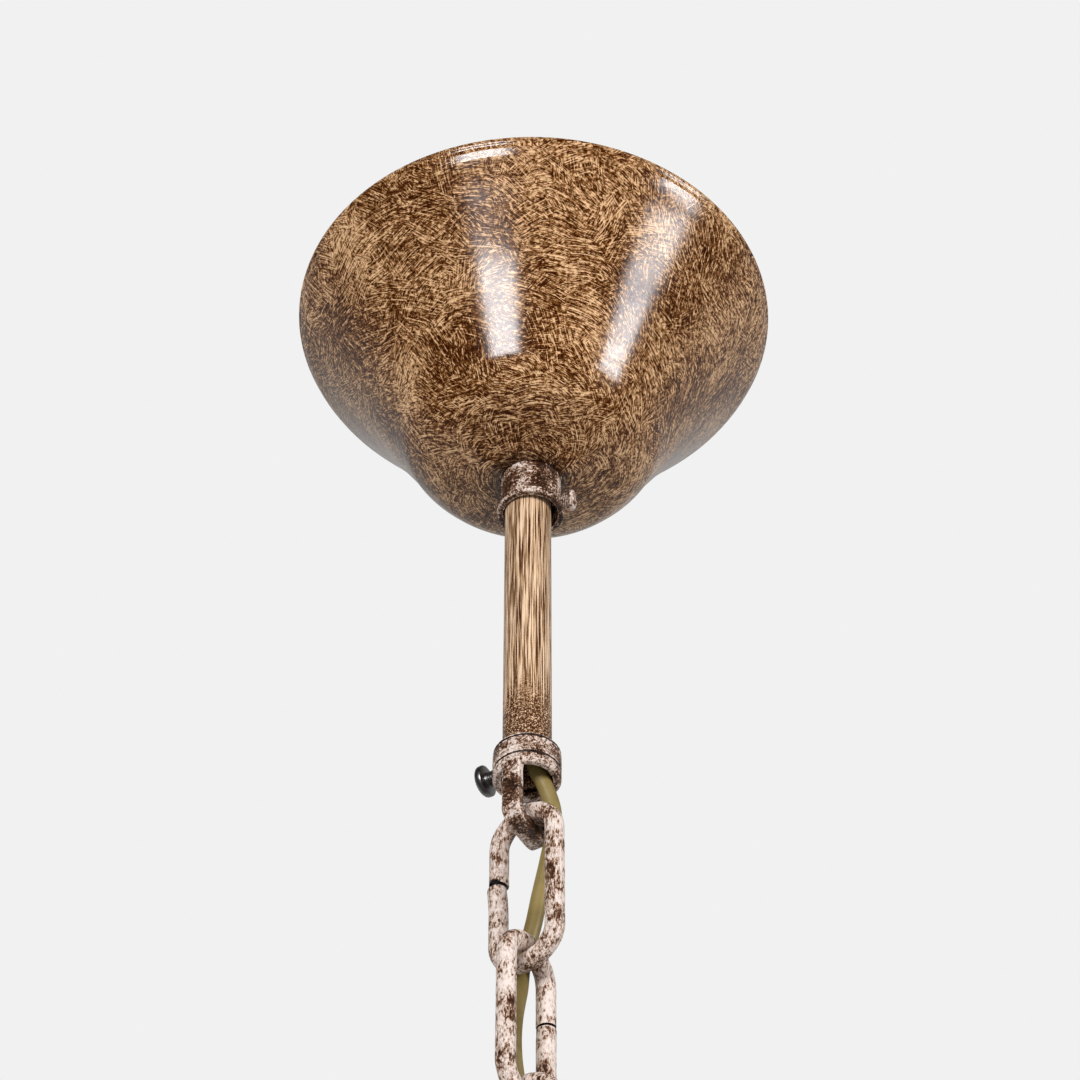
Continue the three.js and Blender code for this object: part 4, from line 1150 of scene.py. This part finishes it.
@dataclass
class Chain:
    """Three links bent from round wire, each with an open butt joint."""

    wire: float = 2.35
    pitch: float = 40.0
    width: float = 20.5
    split: float = 0.35
    split_rise: float = 3.0
    tops: tuple[float, float, float] = (-180.68, -220.38, -260.08)
    sprung: tuple[float, float, float] = (0.6, 0.15, 0.3)
    sprung_length: float = 10.0
    wedge: tuple[float, float, float] = (1.5, 0.5, 0.9)

    def centreline(self, sprung: float, steps: int = 190) -> np.ndarray:
        """The link's centreline from one face of its split round to the other, top at zero.

        Args:
            sprung: How far the end under the split stands out.
            steps: Steps along the link.

        Returns:
            The centre points.
        """
        half = self.width / 2 - self.wire
        straight = self.pitch + 2 * self.wire - 2 * half
        bend = math.pi * half
        whole = 2 * (straight + bend)
        start = straight / 2 + self.split_rise + self.split / 2
        low = -half - straight
        points = []
        for k in range(steps + 1):
            s = (start + (whole - self.split) * k / steps) % whole
            if s < straight:
                points.append((-half, 0, low + s))
            elif s < straight + bend:
                angle = math.pi - (s - straight) / half
                points.append((half * math.cos(angle), 0, -half + half * math.sin(angle)))
            elif s < 2 * straight + bend:
                points.append((half, 0, -half - (s - straight - bend)))
            else:
                angle = (s - 2 * straight - bend) / half
                points.append((half * math.cos(angle), 0, low - half * math.sin(angle)))
        points = np.array(points, float)
        left = np.arange(steps, -1, -1) * (whole - self.split) / steps
        points[:, 0] -= sprung * np.clip(1 - left / self.sprung_length, 0, 1) ** 2
        return points

    def build(self) -> None:
        """Makes and dresses the links."""
        sides = 28
        outer = -self.width / 2
        for i, (top, sprung, wedge) in enumerate(zip(self.tops, self.sprung, self.wedge)):
            link = sweep(self.centreline(sprung), self.wire, sides, 0.25)
            for corner in link.data.vertices[:3 * sides]:
                reach = (corner.co.x / MM - outer) / (2 * self.wire)
                corner.co.z += wedge * max(0.0, 1 - reach) * MM
            place = turn_z(-CHAIN_TURN - (90 if i % 2 else 0))
            link.data.transform(Matrix.Translation((0, 0, top * MM)) @ place)
            shift = Vector((7.0 * i, 0, 0))
            push_out(link, lambda at: 0.07 * noise.noise(at * 0.5 + shift))
            cut = top - self.pitch / 2 - self.wire + self.split_rise
            stand_in(link, f"chain_link_{i + 1}", ChainPatina(cut=cut))


@dataclass(frozen=True)
class ChainPatina(Patina):
    """Patina of the chain, paler than the castings."""

    slot = Slot.CHAIN
    pale: float = 0.05
    grain: float = 0.9
    stretch: float = 0.42


@dataclass(frozen=True)
class ScrewPatina(Patina):
    """Patina of a screw that was painted over."""

    slot = Slot.DARK
    pale: float = -0.1
    grain: float = 0.9


@dataclass
class SupplyCable:
    """Supply cable down the stem and beside the chain, in runs that meet at the links' joints."""

    radius: float = 2.0
    upper: tuple = (
        (0, 0, -9.8), (0, 0, -40), (0, 0, -80), (0, 0, -120), (0, 0, -145), (0.3, 0.1, -154),
        (1.1, 0.5, -161), (2, 1.1, -166.8), (3, 1.8, -169.6), (3.9, 2.9, -173), (4.7, 4.1, -177.6),
        (4.8, 4.5, -182), (4.8, 4.5, -186.5),
    )
    lower: tuple = (
        (3.5, 4.75, -190), (1.9, 4.8, -196.5), (0.3, 4.8, -203), (-1.35, 4.8, -210.5),
        (-2.7, 4.8, -215), (-4.1, 4.8, -219), (-4.7, 4.75, -223.5), (-4.75, 4.2, -228.5),
        (-4.75, 3.1, -233.5), (-4.75, 2.1, -239), (-4.75, 1.7, -244.5), (-4.75, 2.1, -250),
        (-4.75, 3.2, -255), (-4.75, 4.3, -259.5), (-4.7, 4.8, -264.5), (-4.2, 4.85, -269.5),
        (-2.9, 4.8, -275), (-0.8, 4.8, -280.5), (1.6, 4.8, -287), (3.8, 4.75, -293),
        (4.8, 4.5, -298), (4.8, 4.5, -303.3), (4.7, 4.1, -307.7), (3.9, 2.9, -312.3),
        (3, 1.8, -315.7), (2, 1.1, -318.5), (1.1, 0.5, -324.3), (0.3, 0.1, -331.3),
        (0, 0, -337.5), (0, 0, -348.16),
    )
    # node, place of its last point on the route, and the bodies and the levels of the joint that it passes
    runs: tuple = (
        ("cable_in_stem", 6, None),
        ("cable_at_bail", 15, ("ceiling", "link_1", -181.0, -199.0)),
        ("cable_at_link_1", 23, ("link_1", "link_2", -219.0, -241.0)),
        ("cable_at_link_2", 30, ("link_2", "link_3", -256.0, -277.0)),
        ("cable_at_link_3", 38, ("link_3", "lamp_end", -290.0, -306.0)),
        ("cable_in_lamp_stem", -1, None),
    )

    def build(self) -> None:
        """Makes the runs, one sweep each along a single smooth route."""
        turned = [tuple(turn_z(-CHAIN_TURN) @ Vector(p)) for p in self.lower]
        route, marks = smooth_route([*self.upper, *turned], 0.8)
        start = 0
        for node, end, bend in self.runs:
            last = marks[end]
            run = sweep(route[start:last + 1], self.radius)
            start = last
            stand_in(run, node, SHEATH, bend)
        length = float(np.linalg.norm(np.diff(route, axis=0), axis=1).sum())
        log.info("cable length %.1f mm", length)


@dataclass
class LampEnd:
    """Threaded stem for the lamp under the lower loop collar, with its coupling and connector."""

    top: float = LAMP_CAST_END + 6
    thread_foot: float = -348.16
    pitch: float = 1.0

    def build(self) -> None:
        """Makes and dresses the lamp's end."""
        tube = threaded_tube(self.top, LAMP_SHOULDER, self.thread_foot, self.pitch)
        stand_in(tube, "lamp_stem", StreakedPaint(speckle_foot=-330.0, upside_down=True))
        stand_in(hex_nut("lamp_coupling", 16.0), "lamp_coupling", DARK_STEEL)
        dress_copies(PLASTIC, {"cable_connector": 0.15})
        dress_copies(BRASS, {f"connector_contact_{i}": 0.05 for i in (1, 2, 3)})


@dataclass
class CeilingBracket:
    """Ceiling plate, riveted yoke, terminal block, earth tag and cord grip."""

    core_radius: float = 0.65
    core_start: float = -9.5
    core_high: float = -5.55
    core_drop: float = 11.4
    pole_level: float = -24.1
    block_place: float = 22.0
    block_half: float = 7.5
    screw_inset: float = 3.2
    tag_mouth: float = -12.09
    tag_level: float = -27.2

    def core(self, node: str, points: Sequence[Sequence[float]], finish: Finish) -> None:
        """Makes one insulated core along its points."""
        route, _ = smooth_route(points, 0.5)
        stand_in(sweep(route, self.core_radius, 16, 0.1), node, finish)

    def build(self) -> None:
        """Makes and dresses the bracket's pieces."""
        dress_copies(ZINC, {
            "ceiling_plate": 0.35, "yoke": 0.25, "yoke_rivet_right": 0.1, "yoke_rivet_left": 0.1,
            "terminal_fixing_screw": 0.08, "terminal_screw_live_lamp": 0.05,
            "terminal_screw_live_mains": 0.05, "terminal_screw_neutral_lamp": 0.05,
            "terminal_screw_neutral_mains": 0.05,
        })
        brass = ("terminal_live", "terminal_neutral", "earth_tag", "earth_screw")
        dress_copies(BRASS, dict.fromkeys(brass, 0.06))
        stand_in(hex_nut("earth_nut", 7.0), "earth_nut", BRASS)
        dress_copies(PLASTIC, {"terminal_block": 0.4, "cord_grip": 0.3, "cord_grip_screw": 0.08})
        start, high, drop = self.core_start, self.core_high, self.core_drop
        face, end = self.block_place - self.block_half, self.block_place - self.screw_inset + 2
        for node, side, finish in (("core_live", 1, BROWN), ("core_neutral", -1, BLUE)):
            y, near = 5.0 * side, 1.0 * side
            self.core(node, [
                (0.5, near, start), (0.8, 1.1 * near, start + 1.5), (2.6, 0.45 * y, high),
                (0.62 * drop, 0.8 * y, high), (0.93 * drop, y, high - 3), (drop, y, high - 8),
                (drop, y, self.pole_level + 5),
                (drop + 0.8, y, self.pole_level + 1.2), (face, y, self.pole_level),
                (end, y, self.pole_level),
            ], finish)
        mouth, level = self.tag_mouth, self.tag_level
        self.core("core_earth", [
            (-1.0, 0, start), (-1.1, 0, start + 1.5), (-3, 0, high), (-0.62 * drop, 0, high),
            (-0.92 * drop, 0, high - 3.4), (-drop, 0, high - 10), (mouth + 1.6, 0, level + 3),
            (mouth + 0.6, 0, level + 0.5), (mouth - 1, 0, level), (mouth - 2.6, 0, level),
        ], EarthStripe())


@dataclass(frozen=True)
class SoftBox:
    """An area lamp that faces the canopy.

    Its azimuth from +X and its elevation above the horizon are in degrees, its width, height and
    distance in metres.
    """

    name: str
    azimuth: float
    elevation: float
    wide: float
    high: float
    watts: float
    distance: float = 1.7
    tint: tuple[float, float, float] = (0.98, 0.97, 1.0)
    aim: float = -0.035

    def build(self) -> None:
        """Adds the lamp."""
        data = bpy.data.lights.new(self.name, "AREA")
        data.shape = "RECTANGLE"
        data.size, data.size_y = self.wide, self.high
        data.energy = self.watts
        data.color = self.tint
        lamp = bpy.data.objects.new(self.name, data)
        a, e = math.radians(self.azimuth), math.radians(self.elevation)
        way = Vector((math.cos(a) * math.cos(e), math.sin(a) * math.cos(e), math.sin(e)))
        lamp.location = way * self.distance + Vector((0, 0, self.aim))
        lamp.rotation_euler = way.to_track_quat("Z", "Y").to_euler()
        bpy.context.scene.collection.objects.link(lamp)


@dataclass
class Studio:
    """Floor, world, lamps and the photograph's camera."""

    focal: float = 3400.0 / 1080.0 * 36.0
    pitch_up: float = 46.0
    turn: float = 30.0
    away: float = 607.6
    below: float = 716.1
    aside: float = 3.1
    floor_level: float = -1.6
    backdrop: tuple[int, int, int] = (241, 241, 241)
    ambient: float = 0.385
    room_dark: float = 0.03
    room_pale: float = 0.5
    lamps: tuple[SoftBox, ...] = (
        SoftBox("window_left", -80.5, -5.9, 0.60, 0.53, 19.5),
        SoftBox("window_right", 1.5, -0.8, 0.48, 0.32, 9.6),
        SoftBox("window_right_foot", 1.5, -11.0, 0.54, 0.15, 4.2),
    )

    def camera(self) -> None:
        """Sets the camera at the photograph's view."""
        turn, pitch = math.radians(self.turn), math.radians(self.pitch_up)
        right = Vector((math.cos(turn), math.sin(turn), 0))
        level = Vector((-math.sin(turn), math.cos(turn), 0))
        forward = level * math.cos(pitch) + Vector((0, 0, math.sin(pitch)))
        up = Vector((0, 0, math.cos(pitch))) - level * math.sin(pitch)
        spot = (-level * self.away + right * self.aside) * MM + Vector((0, 0, -self.below * MM))
        data = bpy.data.cameras.new("view")
        data.sensor_fit = "HORIZONTAL"
        data.sensor_width = 36.0
        data.lens = self.focal
        data.clip_start = 0.01
        camera = bpy.data.objects.new("view", data)
        axes = Matrix((right, up, -forward)).transposed().to_4x4()
        camera.matrix_world = Matrix.Translation(spot) @ axes
        bpy.context.scene.collection.objects.link(camera)
        bpy.context.scene.camera = camera

    def world(self) -> None:
        """Pale background, with softer light for everything else."""
        world = bpy.data.worlds.new("studio")
        bpy.context.scene.world = world
        world.use_nodes = True
        w = Wiring(world.node_tree)
        world.node_tree.nodes.clear()
        pale = shade_of(*self.backdrop)
        rays = w.node("LightPath").outputs
        seen = w.math("MAXIMUM", rays["Is Camera Ray"], rays["Is Transmission Ray"])
        soft = w.node("Background", (0.86, 0.87, 0.88, 1), self.ambient).outputs[0]
        plain = w.node("Background", pale, 1.0).outputs[0]
        way = w.node("TexCoord").outputs["Generated"]
        turn = math.radians(self.turn)
        ahead = w.vector("DOT_PRODUCT", way, (-math.sin(turn), math.cos(turn), 0))
        strength = w.between(ahead, -0.1, 0.6, self.room_dark, self.room_pale)
        mirrored = w.node("Background", pale, strength).outputs[0]
        both = w.node("MixShader", rays["Is Glossy Ray"], soft, mirrored).outputs[0]
        both = w.node("MixShader", seen, both, plain).outputs[0]
        w.node("OutputWorld", both)

    def floor(self) -> None:
        """A plain pale floor far below the suspension."""
        size = 1200.0
        level = self.floor_level / MM
        corners = [(-size, -size, level), (size, -size, level), (size, size, level), (-size, size, level)]
        floor = new_object("floor", corners, [(0, 1, 2, 3)])
        made = bpy.data.materials.new("floor_paint")
        made.use_nodes = True
        shader = made.node_tree.nodes["Principled BSDF"]
        w = Wiring(made.node_tree)
        mirrored = w.node("LightPath").outputs["Is Glossy Ray"]
        w.give(shader.inputs["Base Color"], w.mix(mirrored, (0.86, 0.86, 0.86, 1), (0.12, 0.12, 0.12, 1)))
        shader.inputs["Roughness"].default_value = 0.9
        floor.data.materials.append(made)

    def build(self) -> None:
        """Sets up the studio."""
        scene = bpy.context.scene
        scene.view_settings.view_transform = "Standard"
        self.camera()
        self.world()
        self.floor()
        for lamp in self.lamps:
            lamp.build()
        log.info("studio ready")


def main() -> None:
    """Builds the studio and every sub-assembly."""
    logging.basicConfig(level=logging.INFO, format="%(relativeCreated)6d ms  %(message)s")
    Studio().build()
    CeilingBracket().build()
    Canopy().build()
    Stem().build()
    upper = Matrix.Translation((0, 0, CAST_TOP))
    LoopCasting("loop_collar", "loop_screw", upper, 2.0, CAST_TOP, 1).build()
    Chain().build()
    lower = turn_z(-CHAIN_TURN) @ Matrix.Translation((0, 0, LAMP_CAST_END)) @ Matrix.Rotation(math.pi, 4, "X")
    LoopCasting("lamp_loop_collar", "lamp_loop_screw", lower, 9.0, LAMP_CAST_END, -1).build()
    SupplyCable().build()
    LampEnd().build()


if __name__ == "__main__":
    main()
